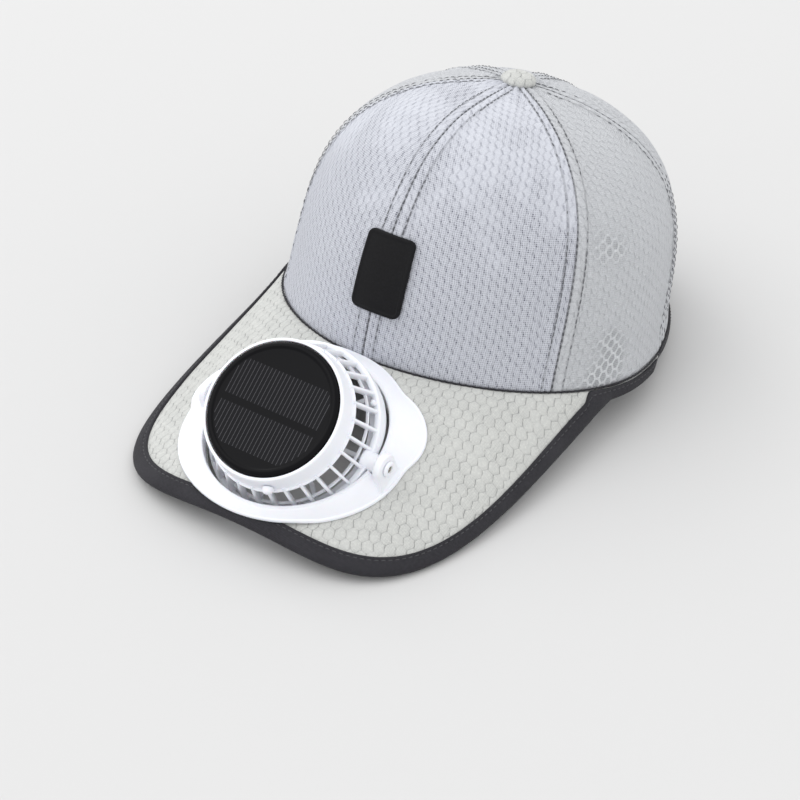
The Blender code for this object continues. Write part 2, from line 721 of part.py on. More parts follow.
def build_cage(head):
    """The housing under the solar panel, its ribs, band and two bosses, as one moulding."""
    outer_low = HOUSING_RADIUS + HOUSING_FLARE
    seat_radius = HOUSING_RADIUS - HOUSING_WALL
    profile = [
        (0.0, PANEL_SEAT), (seat_radius, PANEL_SEAT), (seat_radius, HOUSING_TOP),
        (HOUSING_RADIUS - 0.4 * MM, HOUSING_TOP), (HOUSING_RADIUS, HOUSING_TOP - 0.5 * MM),
        (outer_low, HOUSING_BOTTOM), (outer_low - HOUSING_WALL, HOUSING_BOTTOM),
        (seat_radius - 0.3 * MM, PANEL_SEAT - SEAT_PLATE), (0.0, PANEL_SEAT - SEAT_PLATE),
    ]
    obj = add_object("fan_cage", turned_mesh("fan_cage", profile, LARGE_STEPS), "white_plastic", head)

    band = [
        (CAGE_RADIUS, CAGE_BAND_TOP), (CAGE_RADIUS, CAGE_BAND_BOTTOM),
        (CAGE_RADIUS - CAGE_BAND, CAGE_BAND_BOTTOM), (CAGE_RADIUS - CAGE_BAND, CAGE_BAND_TOP),
    ]
    combine(obj, add_tool("cage_band", turned_mesh("cage_band", band, LARGE_STEPS), head), "UNION")

    work = bmesh.new()
    low = CAGE_BAND_TOP / 2
    high = HOUSING_BOTTOM + MM
    rise = high - low
    run = cone_radius(low) - cone_radius(high)
    lean = math.atan2(run, rise)
    for k in range(CAGE_RIBS):
        turn = Matrix.Rotation(math.tau * (k + 0.5) / CAGE_RIBS, 4, "Z")
        place = Matrix.Translation((cone_radius((low + high) / 2), 0.0, (low + high) / 2))
        box_into(work, (RIB_DEPTH, RIB_WIDTH, math.hypot(rise, run)), turn @ place @ Matrix.Rotation(-lean, 4, "Y"))
    combine(obj, add_tool("cage_ribs", finish_mesh("cage_ribs", work), head), "UNION")

    for side, hand in ((1, "left"), (-1, "right")):
        root = side * (CAGE_RADIUS - BOSS_ROOT)
        tip = side * (opening_radius() + EAR_OFFSET - GAP)
        boss = cylinder_mesh(f"boss_{hand}", BOSS_RADIUS, root, tip, 24)
        combine(obj, add_tool(f"boss_{hand}", boss, head), "UNION")
        bore = cylinder_mesh(f"boss_bore_{hand}", SCREW_RADIUS + GAP, tip - side * SCREW_DEPTH, tip + side * MM, SMALL_STEPS)
        combine(obj, add_tool(f"boss_bore_{hand}", bore, head), "DIFFERENCE")


def build_screws(head):
    """Pan-headed screws through the ears into the bosses: they are the tilt pivots."""
    face = opening_radius() + EAR_OFFSET + EAR_THICKNESS + GAP
    shank_end = opening_radius() + EAR_OFFSET - GAP - SCREW_DEPTH + GAP
    profile = [
        (0.0, face + SCREW_HEAD_HEIGHT), (SCREW_HEAD_RADIUS * 0.7, face + SCREW_HEAD_HEIGHT),
        (SCREW_HEAD_RADIUS, face + SCREW_HEAD_HEIGHT * 0.5), (SCREW_HEAD_RADIUS, face),
        (SCREW_RADIUS, face), (SCREW_RADIUS, shank_end), (0.0, shank_end),
    ]
    for side, hand in ((1, "left"), (-1, "right")):
        name = f"pivot_screw_{hand}"
        mesh = turned_mesh(name, profile, SMALL_STEPS)
        mesh.transform(Matrix.Rotation(side * math.pi / 2, 4, "Y"))
        add_object(name, mesh, "screw_steel", head)


def build_solar_panel(head):
    radius = HOUSING_RADIUS - HOUSING_WALL - GAP
    base = PANEL_SEAT + GAP
    top = base + SOLAR_RISE
    profile = [
        (0.0, top), (radius - SOLAR_EDGE, top), (radius - 0.35 * SOLAR_EDGE, top - 0.2 * SOLAR_EDGE),
        (radius, top - 0.8 * SOLAR_EDGE), (radius, base), (0.0, base),
    ]
    add_object("solar_panel", turned_mesh("solar_panel", profile, LARGE_STEPS), "solar_glass", head)


def motor_top():
    return PANEL_SEAT - SEAT_PLATE - GAP


def hub_top():
    return motor_top() - MOTOR_HEIGHT - HUB_GAP


def build_motor(head):
    """A plain can motor under the seat plate, with its shaft down into the impeller's hub."""
    top = motor_top()
    bottom = top - MOTOR_HEIGHT
    profile = [
        (0.0, top), (MOTOR_RADIUS, top), (MOTOR_RADIUS, bottom), (SHAFT_RADIUS, bottom),
        (SHAFT_RADIUS, bottom - SHAFT_LENGTH), (0.0, bottom - SHAFT_LENGTH),
    ]
    add_object("motor", turned_mesh("motor", profile, 24), "screw_steel", head)


def build_impeller(head):
    """A hub with pitched blades, which spins on the motor's shaft."""
    top = hub_top()
    bottom = top - HUB_HEIGHT
    bore = SHAFT_RADIUS + GAP
    bore_end = motor_top() - MOTOR_HEIGHT - SHAFT_LENGTH - GAP
    profile = [
        (0.0, bore_end), (bore, bore_end), (bore, top), (HUB_RADIUS - HUB_ROUND, top),
        (HUB_RADIUS, top - HUB_ROUND), (HUB_RADIUS, bottom + HUB_ROUND), (HUB_RADIUS - HUB_ROUND, bottom),
        (0.0, bottom),
    ]
    obj = add_object("impeller", turned_mesh("impeller", profile), "smoke_plastic", head)

    middle = (top + bottom) / 2
    for k in range(HUB_BLADES):
        turn = Matrix.Rotation(math.tau * k / HUB_BLADES, 4, "Z")
        sections = []
        for i in range(BLADE_STEPS + 1):
            share = i / BLADE_STEPS
            radius = HUB_RADIUS - HUB_ROUND + (BLADE_RADIUS - HUB_RADIUS + HUB_ROUND) * share
            pitch = BLADE_PITCH - BLADE_WASHOUT * share
            chord = BLADE_CHORD * (0.8 + 0.5 * math.sin(math.pi * (0.15 + 0.7 * share)))
            sweep = 0.25 * share ** 2
            section = []
            for along, high in ((-0.5, -0.5), (0.5, -0.5), (0.5, 0.5), (-0.5, 0.5)):
                flat = Vector((radius, along * chord, high * BLADE_THICKNESS))
                place = Matrix.Rotation(pitch, 3, "X") @ flat
                section.append(turn @ Matrix.Rotation(sweep, 4, "Z") @ (place + Vector((0.0, 0.0, middle))))
            sections.append(section)
        blade = grid_mesh(f"blade_{k}", sections, closed_round=True, capped=True)
        combine(obj, add_tool(f"blade_{k}", blade, head), "UNION")


def build_guard(head):
    """A plain rear guard inside the cage's band: a band, spokes and a small plate in the middle."""
    outer = CAGE_RADIUS - CAGE_BAND - GAP
    low = CAGE_BAND_BOTTOM
    high = low + 1.6 * MM
    band = [(outer, high), (outer, low), (outer - GUARD_BAND, low), (outer - GUARD_BAND, high)]
    obj = add_object("rear_guard", turned_mesh("rear_guard", band, LARGE_STEPS), "white_plastic", head)
    plate = [(0.0, high), (GUARD_HUB_RADIUS, high), (GUARD_HUB_RADIUS, low), (0.0, low)]
    combine(obj, add_tool("guard_plate", turned_mesh("guard_plate", plate, 24), head), "UNION")
    work = bmesh.new()
    start = GUARD_HUB_RADIUS - MM
    end = outer - GUARD_BAND / 2
    for k in range(GUARD_SPOKES):
        turn = Matrix.Rotation(math.tau * k / GUARD_SPOKES, 4, "Z")
        place = Matrix.Translation(((start + end) / 2, 0.0, (low + high) / 2))
        box_into(work, (end - start, GUARD_SPOKE_WIDTH, high - low - 0.4 * MM), turn @ place)
    combine(obj, add_tool("guard_spokes", finish_mesh("guard_spokes", work), head), "UNION")


def build_knob(head):
    """The small switch knob on the housing's front."""
    share = (HOUSING_TOP - KNOB_HEIGHT) / (HOUSING_TOP - HOUSING_BOTTOM)
    wall = HOUSING_RADIUS + HOUSING_FLARE * share
    start = wall + GAP
    profile = [
        (0.0, start + KNOB_LENGTH), (KNOB_RADIUS * 0.6, start + KNOB_LENGTH * 0.92),
        (KNOB_RADIUS, start + KNOB_LENGTH * 0.55), (KNOB_RADIUS, start), (0.0, start),
    ]
    mesh = turned_mesh("switch_knob", profile, 16)
    mesh.transform(Matrix.Rotation(math.pi / 2, 4, "X"))
    mesh.transform(Matrix.Rotation(KNOB_ANGLE, 4, "Z"))
    mesh.transform(Matrix.Translation((0.0, 0.0, KNOB_HEIGHT)))
    add_object("switch_knob", mesh, "white_plastic", head)


for old in list(bpy.data.objects):
    bpy.data.objects.remove(old)

PARTS = bpy.data.collections.new("solar_fan_hat")
TOOLS = bpy.data.collections.new("cutters")
bpy.context.scene.collection.children.link(PARTS)
bpy.context.scene.collection.children.link(TOOLS)

cap_frame = add_empty("cap_frame", None, (0.0, FRAME_SHIFT, 0.0), 0.0)
axis_place = (0.0, -AXIS_FORWARD, AXIS_HEIGHT)
fan_ring_frame = add_empty("fan_ring_frame", cap_frame, axis_place, RING_PITCH)
fan_head_frame = add_empty("fan_head_frame", cap_frame, axis_place, HEAD_TILT)

build_panels(cap_frame)
build_button(cap_frame)
build_patch(cap_frame)
build_brim(cap_frame, fan_ring_frame)
build_brim_binding(cap_frame)
build_hem(cap_frame)
build_ring(fan_ring_frame)
build_cage(fan_head_frame)
build_screws(fan_head_frame)
build_solar_panel(fan_head_frame)
build_motor(fan_head_frame)
build_impeller(fan_head_frame)
build_guard(fan_head_frame)
build_knob(fan_head_frame)
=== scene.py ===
"""Looks of a mesh sun cap with a solar fan set in its brim, laid out as a Blender add-on.

Metres, +Z up, the front to -Y and the wearer's left to +X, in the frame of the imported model. The
cloth follows the same named sizes as the model's solids, with finer steps.
"""
import math
from collections import namedtuple

import bmesh
import bpy
import numpy as np
from mathutils import Matrix, Vector, noise


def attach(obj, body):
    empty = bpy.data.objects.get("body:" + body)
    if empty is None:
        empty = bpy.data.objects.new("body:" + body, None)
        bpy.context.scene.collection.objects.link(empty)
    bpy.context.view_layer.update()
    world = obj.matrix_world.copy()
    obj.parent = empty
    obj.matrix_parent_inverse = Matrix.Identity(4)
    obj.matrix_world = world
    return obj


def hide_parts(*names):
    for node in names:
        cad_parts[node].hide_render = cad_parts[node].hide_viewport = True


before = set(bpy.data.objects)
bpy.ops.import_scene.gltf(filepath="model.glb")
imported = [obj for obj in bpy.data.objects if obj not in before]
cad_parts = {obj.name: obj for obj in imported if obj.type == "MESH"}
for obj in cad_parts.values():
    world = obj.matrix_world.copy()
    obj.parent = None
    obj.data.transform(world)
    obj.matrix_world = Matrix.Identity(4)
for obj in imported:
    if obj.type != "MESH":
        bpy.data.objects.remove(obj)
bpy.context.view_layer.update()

bl_info = {
    "name": "Solar Fan Cap",
    "version": (1, 0, 0),
    "blender": (4, 5, 0),
    "location": "3D View > Sidebar > Solar Cap",
    "description": "Builds the cloth, plastic and finishes of a mesh cap with a solar fan",
    "category": "Object",
}

MM = 0.001

# Crown, as in the model's solids
CROWN_HALF_WIDTH = 84.5 * MM
CROWN_FRONT = 86.9 * MM
CROWN_BACK = 106.8 * MM
CROWN_HEIGHT = 100.0 * MM
CROWN_LEAN = 11.1 * MM
PLAN_POWER = 1.08
SWELL_POWER = 0.6
REST_TILT = math.radians(11.1)
REST_LIFT = 1.8 * MM
TOP_HOLE = 5.0 * MM
ROW_SPACING = 5.2 * MM

Side = namedtuple("Side", "shoulder roundness swell edge_rise")
SIDES = (
    Side(shoulder=3.40, roundness=3.40, swell=0.017, edge_rise=0.5 * MM),
    Side(shoulder=3.73, roundness=1.71, swell=-0.036, edge_rise=-5.3 * MM),
    Side(shoulder=1.50, roundness=2.03, swell=-0.009, edge_rise=0.0),
)
Seam = namedtuple("Seam", "angle bow drift", defaults=(0.0,))
CENTRE_FRONT = Seam(angle=0.0, bow=0.0, drift=0.017)
FRONT_SEAM = Seam(angle=math.radians(56.3), bow=math.radians(0.9))
BACK_SEAM = Seam(angle=math.radians(108.8), bow=math.radians(6.1))
CENTRE_BACK = Seam(angle=math.pi, bow=0.0)
SEAMS = (
    (CENTRE_FRONT, 1), (FRONT_SEAM, 1), (FRONT_SEAM, -1), (BACK_SEAM, 1), (BACK_SEAM, -1), (CENTRE_BACK, 1),
)

# Brim, as in the model's solids
BRIM_HALF_WIDTH = 83.1 * MM
BRIM_TIP = 174.4 * MM
BRIM_REAR = 20.5 * MM
BRIM_SQUARENESS = 4.04
BRIM_TIP_HEIGHT = 10.4 * MM
BRIM_EDGE_DROOP = 18.0 * MM
BRIM_DROOP_POWER = 2.14
BRIM_EDGE_RISE = 0.15
BRIM_BULGE = 4.5 * MM
BRIM_BULGE_POWER = 0.7
BRIM_THICKNESS = 1.6 * MM
BRIM_TAIL_END = math.radians(108.0)
BRIM_TAIL_SHARE = 0.5
BINDING_WIDTH = 8.0 * MM
TAPE_STITCH = 2.9 * MM
TAPE_STITCH_LENGTH = 2.2 * MM

# Fan, as in the model's solids
AXIS_FORWARD = 132.3 * MM
AXIS_HEIGHT = 31.8 * MM
RING_PITCH = math.radians(18.1)
HEAD_TILT = math.radians(38.7)
CAGE_RADIUS = 37.2 * MM
RING_BORE = CAGE_RADIUS + 1.4 * MM
FLANGE_HALF_WIDTH = 51.0 * MM
FLANGE_HALF_LENGTH = 46.0 * MM
FLANGE_SHIFT = np.array((-3.6 * MM, 1.8 * MM))
FLANGE_THICKNESS = 1.5 * MM
Lobe = namedtuple("Lobe", "angle reach radius")
LOBES = (
    Lobe(angle=math.radians(26.1), reach=33.7 * MM, radius=21.5 * MM),
    Lobe(angle=math.radians(169.4), reach=42.1 * MM, radius=15.5 * MM),
)
EAR_NEAR = RING_BORE + 3.4 * MM
EAR_RADIUS = 6.0 * MM
BOSS_RADIUS = 3.8 * MM
HUB_RADIUS = 8.5 * MM
HUB_MIDDLE = 7.9 * MM
BLADE_RADIUS = 27.0 * MM
BLADE_CHORD = 12.6 * MM

FRAME_SHIFT = (BRIM_TIP - CROWN_BACK * math.cos(REST_TILT) - 1.0 * MM) / 2
SHIFT = np.array((0.0, FRAME_SHIFT, 0.0))


# Shader building

def maths(operation):
    """A method that adds one Math node."""
    def apply(self, *others):
        return self.calc(operation, *others)
    return apply


class Number:
    """A number in a shader, which Python expressions can use."""

    def __init__(self, paint, socket):
        self.paint = paint
        self.socket = socket

    def calc(self, operation, *others):
        values = [self, *others]
        made = self.paint.node("ShaderNodeMath", {"operation": operation}, dict(enumerate(values)))
        return Number(self.paint, made.outputs[0])

    __add__ = __radd__ = maths("ADD")
    __sub__ = maths("SUBTRACT")
    __mul__ = __rmul__ = maths("MULTIPLY")
    __truediv__ = maths("DIVIDE")
    __abs__ = maths("ABSOLUTE")
    __lt__ = maths("LESS_THAN")
    fract = maths("FRACT")
    sine = maths("SINE")
    least = maths("MINIMUM")
    most = maths("MAXIMUM")

    def __rsub__(self, other):
        made = self.paint.node("ShaderNodeMath", {"operation": "SUBTRACT"}, {0: other, 1: self})
        return Number(self.paint, made.outputs[0])

    def step(self, low, high):
        """Rises smoothly from 0 at low to 1 at high."""
        made = self.paint.node(
            "ShaderNodeMapRange", {"interpolation_type": "SMOOTHSTEP"},
            {"Value": self, "From Min": low, "From Max": high},
        )
        return Number(self.paint, made.outputs[0])


class Paint:
    """One material under construction."""

    def __init__(self, name, **constants):
        self.material = bpy.data.materials.new(name)
        self.material.use_nodes = True
        self.tree = self.material.node_tree
        self.shader = self.tree.nodes["Principled BSDF"]
        for key, value in constants.items():
            self.feed(self.shader.inputs[key.replace("_", " ").title().replace("Ior", "IOR")], value)

    def feed(self, socket, value):
        if isinstance(value, Number):
            self.tree.links.new(value.socket, socket)
        elif isinstance(value, bpy.types.NodeSocket):
            self.tree.links.new(value, socket)
        elif isinstance(value, (tuple, list)) and socket.type == "RGBA":
            socket.default_value = (*value[:3], 1.0)
        else:
            socket.default_value = value

    def node(self, kind, settings=(), sockets=()):
        """Adds a node: its settings first, then the values or links of its sockets."""
        made = self.tree.nodes.new(kind)
        for key, value in dict(settings).items():
            setattr(made, key, value)
        for key, value in dict(sockets).items():
            self.feed(made.inputs[key], value)
        return made

    def cloth(self):
        """Where a point lies on its flat cloth, in millimetres: across and along."""
        place = self.node("ShaderNodeUVMap", {"uv_map": "cloth"})
        parts = self.node("ShaderNodeSeparateXYZ", (), {0: place.outputs[0]})
        return Number(self, parts.outputs[0]), Number(self, parts.outputs[1])

    def field(self, name):
        made = self.node("ShaderNodeAttribute", {"attribute_name": name})
        return Number(self, made.outputs["Fac"])

    def place(self, scale=(1.0, 1.0, 1.0)):
        """The point in the object's own metres, times a scale."""
        spot = self.node("ShaderNodeTexCoord").outputs["Object"]
        return self.node("ShaderNodeVectorMath", {"operation": "MULTIPLY"}, {0: spot, 1: scale}).outputs[0]

    def noise(self, scale, detail=2.0, roughness=0.5, vector=None):
        sockets = {"Vector": vector or self.place(), "Scale": scale, "Detail": detail, "Roughness": roughness}
        return Number(self, self.node("ShaderNodeTexNoise", (), sockets).outputs[0])

    def mix(self, low, high, share):
        """A colour between two colours."""
        made = self.node("ShaderNodeMix", {"data_type": "RGBA"}, {0: share, 6: low, 7: high})
        return made.outputs[2]

    def bump(self, height, distance, strength):
        sockets = {"Height": height, "Distance": distance, "Strength": strength}
        return self.node("ShaderNodeBump", (), sockets).outputs[0]

    def set(self, **values):
        for key, value in values.items():
            self.feed(self.shader.inputs[key.replace("_", " ").title()], value)
        return self.material


def honeycomb(across, along, width, length):
    """How far a point is from its knitted cell's long and short edges, and which way its long edge leans."""
    root = math.sqrt(3.0)
    x = along / length
    y = across / (width * 2.0)
    near_x, near_y = x.fract() - 0.5, (y.fract() - 0.5) * root
    far_x, far_y = (x + 0.5).fract() - 0.5, ((y + 0.5).fract() - 0.5) * root
    first = (near_x * near_x + near_y * near_y) < (far_x * far_x + far_y * far_y)
    cell_x = far_x + (near_x - far_x) * first
    cell_y = far_y + (near_y - far_y) * first
    lean = (cell_x * cell_y).step(-0.006, 0.006)
    return 0.5 - (abs(cell_x) * 0.5 + abs(cell_y) * (root / 2.0)), 0.5 - abs(cell_x), lean


# Points and lines

def stacked(*parts):
    """Coordinates, spread to one shape and joined into points."""
    return np.stack(np.broadcast_arrays(*parts), -1)


def arc_length(points):
    """The distance along each line of points, shaped (..., points, 3)."""
    steps = np.linalg.norm(np.diff(points, axis=-2), axis=-1)
    return np.concatenate((np.zeros((*steps.shape[:-1], 1)), np.cumsum(steps, -1)), -1)


# Crown surface

def to_rest(points):
    """Turns points of the head's plane nose up, as the cap rests."""
    x, y, z = np.moveaxis(np.asarray(points, float), -1, 0)
    cos, sin = math.cos(REST_TILT), math.sin(REST_TILT)
    lift = CROWN_BACK * sin + REST_LIFT
    return np.stack((x, y * cos + z * sin, z * cos - y * sin + lift), -1)


def side_mix(theta, column):
    front = np.maximum(np.cos(theta), 0.0) ** 2
    back = np.maximum(-np.cos(theta), 0.0) ** 2
    values = [getattr(side, column) for side in SIDES]
    return front * values[0] + (1.0 - front - back) * values[1] + back * values[2]


def signed_power(value, power):
    return np.sign(value) * np.abs(value) ** power


def crown_at(theta, reach, height):
    """The crown's outer face, at shares of its reach and height; 0 is the front."""
    reach = reach * (1.0 + side_mix(theta, "swell") * np.sin(math.pi * height ** SWELL_POWER))
    length = np.where(np.cos(theta) > 0.0, CROWN_FRONT, CROWN_BACK)
    x = CROWN_HALF_WIDTH * signed_power(np.sin(theta), PLAN_POWER) * reach
    y = -length * signed_power(np.cos(theta), PLAN_POWER) * reach + CROWN_LEAN * height
    z = CROWN_HEIGHT * height + side_mix(theta, "edge_rise") * (1.0 - height)
    return to_rest(stacked(x, y, z))


def crown_profile(theta):
    """Points up the crown in each direction, from its lower edge to its top, with their lengths."""
    turn = np.linspace(0.0, math.pi / 2, 121)
    height = np.sin(turn) ** (2.0 / side_mix(theta, "shoulder")[:, None])
    reach = np.maximum(np.cos(turn), 0.0) ** (2.0 / side_mix(theta, "roundness")[:, None])
    points = crown_at(theta[:, None], reach, height)
    return points, arc_length(points)


def crown_length(theta):
    theta = np.asarray(theta, float)
    return crown_profile(theta.ravel())[1][:, -1].reshape(theta.shape) - TOP_HOLE


def crown_up(theta, length):
    """The points of the crown that lie a length of cloth above the lower edge."""
    theta, length = np.broadcast_arrays(np.asarray(theta, float), np.asarray(length, float))
    points, lengths = crown_profile(theta.ravel())
    wanted = np.clip(length.ravel(), 0.0, lengths[:, -1] - 1e-9)
    high = np.clip((lengths <= wanted[:, None]).sum(1), 1, lengths.shape[1] - 1)
    row = np.arange(len(wanted))
    before, after = lengths[row, high - 1], lengths[row, high]
    share = ((wanted - before) / np.maximum(after - before, 1e-9))[:, None]
    found = points[row, high - 1] * (1.0 - share) + points[row, high] * share
    return found.reshape(theta.shape + (3,))


def unit(vectors):
    return vectors / np.maximum(np.linalg.norm(vectors, axis=-1, keepdims=True), 1e-12)


def crown_normal(theta, length):
    across = crown_up(theta + 0.02, length) - crown_up(theta - 0.02, length)
    upward = crown_up(theta, length + 0.8 * MM) - crown_up(theta, np.maximum(length - 0.8 * MM, 0.0))
    return unit(np.cross(across, upward))


def seam_angle(seam, share, side=1):
    return side * (seam.angle + seam.bow * np.sin(math.pi * share)) + seam.drift * np.sin(math.pi * share)


def seam_row_offset(points):
    """How far the outer stitch rows lie from their seam; they close up near the button."""
    top = crown_at(np.zeros(1), 0.0, 1.0)[0]
    radius = np.linalg.norm(points - top, axis=-1)
    return ROW_SPACING * radius / (radius + 6.0 * MM)


def ripple(points, scale, seed):
    """Smooth noise from -1 to 1 at points."""
    flat = np.asarray(points).reshape(-1, 3) * scale
    values = [noise.noise(Vector(point) + Vector((seed, -seed, seed * 0.5))) for point in flat]
    return np.array(values).reshape(np.asarray(points).shape[:-1])


def bell(distance, centre, width):
    return np.exp(-((distance - centre) / width) ** 2)


def smooth(value, low, high):
    share = np.clip((value - low) / (high - low), 0.0, 1.0)
    return share * share * (3.0 - 2.0 * share)


# Brim surface

def crown_foot(alpha):
    """The crown's lower edge in each plan direction, where 0 is the front."""
    low, high = np.zeros_like(alpha), np.full_like(alpha, math.pi)
    for _ in range(40):
        theta = (low + high) / 2
        point = crown_at(theta, 1.0, 0.0)
        before = np.arctan2(point[..., 0], -point[..., 1]) < np.abs(alpha)
        low, high = np.where(before, theta, low), np.where(before, high, theta)
    point = crown_at((low + high) / 2, 1.0, 0.0)
    point[..., 0] = np.copysign(point[..., 0], alpha)
    return point


def outline_point(alpha):
    low, high = np.zeros_like(alpha), np.full_like(alpha, 2.0 * BRIM_TIP)
    for _ in range(48):
        radius = (low + high) / 2
        across = radius * np.abs(np.sin(alpha)) / BRIM_HALF_WIDTH
        along = np.maximum(radius * np.cos(alpha) - BRIM_REAR, 0.0) / (BRIM_TIP - BRIM_REAR)
        inside = across ** BRIM_SQUARENESS + along ** BRIM_SQUARENESS < 1.0
        low, high = np.where(inside, radius, low), np.where(inside, high, radius)
    across = low * np.abs(np.sin(alpha)) / BRIM_HALF_WIDTH
    y = -low * np.cos(alpha)
    droop = BRIM_EDGE_DROOP * across ** BRIM_DROOP_POWER
    return np.stack((low * np.sin(alpha), y, BRIM_TIP_HEIGHT - droop + BRIM_EDGE_RISE * (y + BRIM_TIP)), -1)


def brim_span(alpha):
    """The brim's inner and outer edge in each plan direction; past its sides it tapers to a tail."""
    alpha = np.asarray(alpha, float)
    inner, outer = crown_foot(alpha), outline_point(alpha)
    side_angle = math.atan2(BRIM_HALF_WIDTH, BRIM_REAR)
    edge, foot = outline_point(np.array([side_angle]))[0], crown_foot(np.array([side_angle]))[0]
    share = np.clip((np.abs(alpha) - side_angle) / (BRIM_TAIL_END - side_angle), 0.0, 1.0)
    size = 1.0 - (1.0 - BRIM_TAIL_SHARE) * share
    reach = np.linalg.norm(edge[:2]) - np.linalg.norm(foot[:2])
    step = stacked(np.sin(alpha) * reach, -np.cos(alpha) * reach, edge[2] - foot[2])
    return inner, np.where((np.abs(alpha) > side_angle)[..., None], inner + step * size[..., None], outer)


def brim_point(alpha, share, span=None):
    """The middle of the brim's cloth, at a share of the way from the crown to the outer edge."""
    inner, outer = span or brim_span(alpha)
    share = np.asarray(share, float)
    point = inner + (outer - inner) * share[..., None]
    rise = BRIM_BULGE * np.sin(math.pi * np.clip(share, 0.0, 1.0) ** BRIM_BULGE_POWER)
    point[..., 2] += rise * np.maximum(np.cos(alpha), 0.0) ** 2
    return point


def brim_height(x, y):
    alpha = np.arctan2(x, -y)
    inner, outer = brim_span(alpha)
    foot = np.hypot(inner[..., 0], inner[..., 1])
    edge = np.hypot(outer[..., 0], outer[..., 1])
    share = np.clip((np.hypot(x, y) - foot) / (edge - foot), 0.0, 1.0)
    return brim_point(alpha, share, (inner, outer))[..., 2]


# Mesh building

def fan_frame(tilt):
    place = Matrix.Translation((0.0, FRAME_SHIFT - AXIS_FORWARD, AXIS_HEIGHT))
    return place @ Matrix.Rotation(tilt, 4, "X")


def moved(points, matrix):
    turn = np.array(matrix)
    return np.asarray(points) @ turn[:3, :3].T + turn[:3, 3]


def grid_faces(rows, columns, closed=False, start=0):
    """Quads between rows of points."""
    reach = columns if closed else columns - 1
    faces = []
    for r in range(rows - 1):
        for c in range(reach):
            d = (c + 1) % columns
            low, high = start + r * columns, start + (r + 1) * columns
            faces.append((low + c, low + d, high + d, high + c))
    return faces


class Shape:
    """Points, faces and cloth places, gathered before they become one object."""

    def __init__(self):
        self.points, self.faces, self.cloth, self.slots, self.fields = [], [], [], [], {}
        self.count = 0

    def add(self, points, faces, cloth=None, slot=0, **fields):
        points = np.asarray(points, float).reshape(-1, 3)
        self.points.append(points)
        self.faces += [tuple(self.count + i for i in face) for face in faces]
        self.slots += [slot] * len(faces)
        flat = np.zeros((len(points), 2)) if cloth is None else np.asarray(cloth, float).reshape(-1, 2)
        self.cloth.append(flat)
        for key, values in fields.items():
            self.fields.setdefault(key, []).append((self.count, np.asarray(values, float).ravel()))
        self.count += len(points)

    def grid(self, points, closed=False, capped=False, **extra):
        """A skin through rows of points, shaped (rows, columns, 3)."""
        rows, columns = points.shape[:2]
        faces = grid_faces(rows, columns, closed)
        if capped:
            faces.append(tuple(range(columns))[::-1])
            faces.append(tuple((rows - 1) * columns + i for i in range(columns)))
        self.add(points, faces, **extra)

    def turned(self, profile, steps, place):
        """A solid turned about Z from (radius, height) points in millimetres, or a hoop off the axis."""
        turn = np.linspace(0.0, math.tau, steps, endpoint=False)
        radius, height = (np.array(profile, float) * MM).T
        points = stacked(np.outer(radius, np.cos(turn)), np.outer(radius, np.sin(turn)), height[:, None])
        if radius[0] > 0.0:
            points = np.concatenate((points, points[:1]))
        self.grid(moved(points, place), closed=True, cloth=points[..., :2])

    def build(self, name, body, slot, paints, replaces=(), outward=True, angle=40.0):
        mesh = bpy.data.meshes.new(name)
        points = np.concatenate(self.points)
        mesh.from_pydata([tuple(point) for point in points], [], self.faces)
        for paint in paints:
            mesh.materials.append(paint)
        mesh.polygons.foreach_set("material_index", self.slots)
        layer = mesh.uv_layers.new(name="cloth")
        corners = np.zeros(len(mesh.loops), int)
        mesh.loops.foreach_get("vertex_index", corners)
        layer.data.foreach_set("uv", (np.concatenate(self.cloth) / MM)[corners].ravel())
        for key, pieces in self.fields.items():
            values = np.zeros(len(points))
            for start, part in pieces:
                values[start:start + len(part)] = part
            mesh.attributes.new(key, "FLOAT", "POINT").data.foreach_set("value", values)
        work = bmesh.new()
        work.from_mesh(mesh)
        bmesh.ops.remove_doubles(work, verts=work.verts, dist=1e-6)
        if outward:
            bmesh.ops.recalc_face_normals(work, faces=work.faces)
        work.to_mesh(mesh)
        work.free()
        mesh.shade_smooth()
        mesh.set_sharp_from_angle(angle=math.radians(angle))
        obj = bpy.data.objects.new(name, mesh)
        bpy.context.scene.collection.objects.link(obj)
        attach(obj, body)
        if replaces:
            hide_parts(*replaces)
        return obj


def stitches(shape, path, normals, pitch, length, radius):
    """A row of thread stitches along a path, each a short bead that dips into the cloth at its ends."""
    arc = arc_length(path)

    def along_row(spot, values):
        return np.stack([np.interp(spot, arc, values[:, k]) for k in range(3)], -1)

    centres = np.arange(pitch / 2, arc[-1], pitch)
    turn = np.linspace(0.0, math.tau, 6, endpoint=False)
    steps = ((-0.5, -0.9, 0.35), (-0.3, 0.3, 0.95), (0.0, 0.7, 1.0), (0.3, 0.3, 0.95), (0.5, -0.9, 0.35))
    sections = []
    for along, rise, girth in steps:
        spot = centres + along * length
        ahead = along_row(spot + 0.3 * MM, path) - along_row(spot - 0.3 * MM, path)
        out = unit(along_row(spot, normals))
        side = unit(np.cross(ahead, out))
        middle = along_row(spot, path) + out * radius * rise
        ring = side[:, None] * np.cos(turn)[:, None] + out[:, None] * 0.8 * np.sin(turn)[:, None]
        sections.append(middle[:, None] + ring * radius * girth)
    for bead in np.stack(sections, 1):
        shape.grid(bead, closed=True, capped=True)


def tube(shape, path, radius):
    """A thin round cord along a path."""
    around = np.linspace(0.0, math.tau, 8, endpoint=False)
    ahead = unit(np.gradient(path, axis=0))
    side = unit(np.cross(ahead, (0.0, 0.0, 1.0)))
    up = np.cross(side, ahead)
    ring = side[:, None] * np.cos(around)[:, None] + up[:, None] * np.sin(around)[:, None]
    shape.grid(path[:, None] + ring * radius, closed=True, capped=True)


# Settings that a user would change

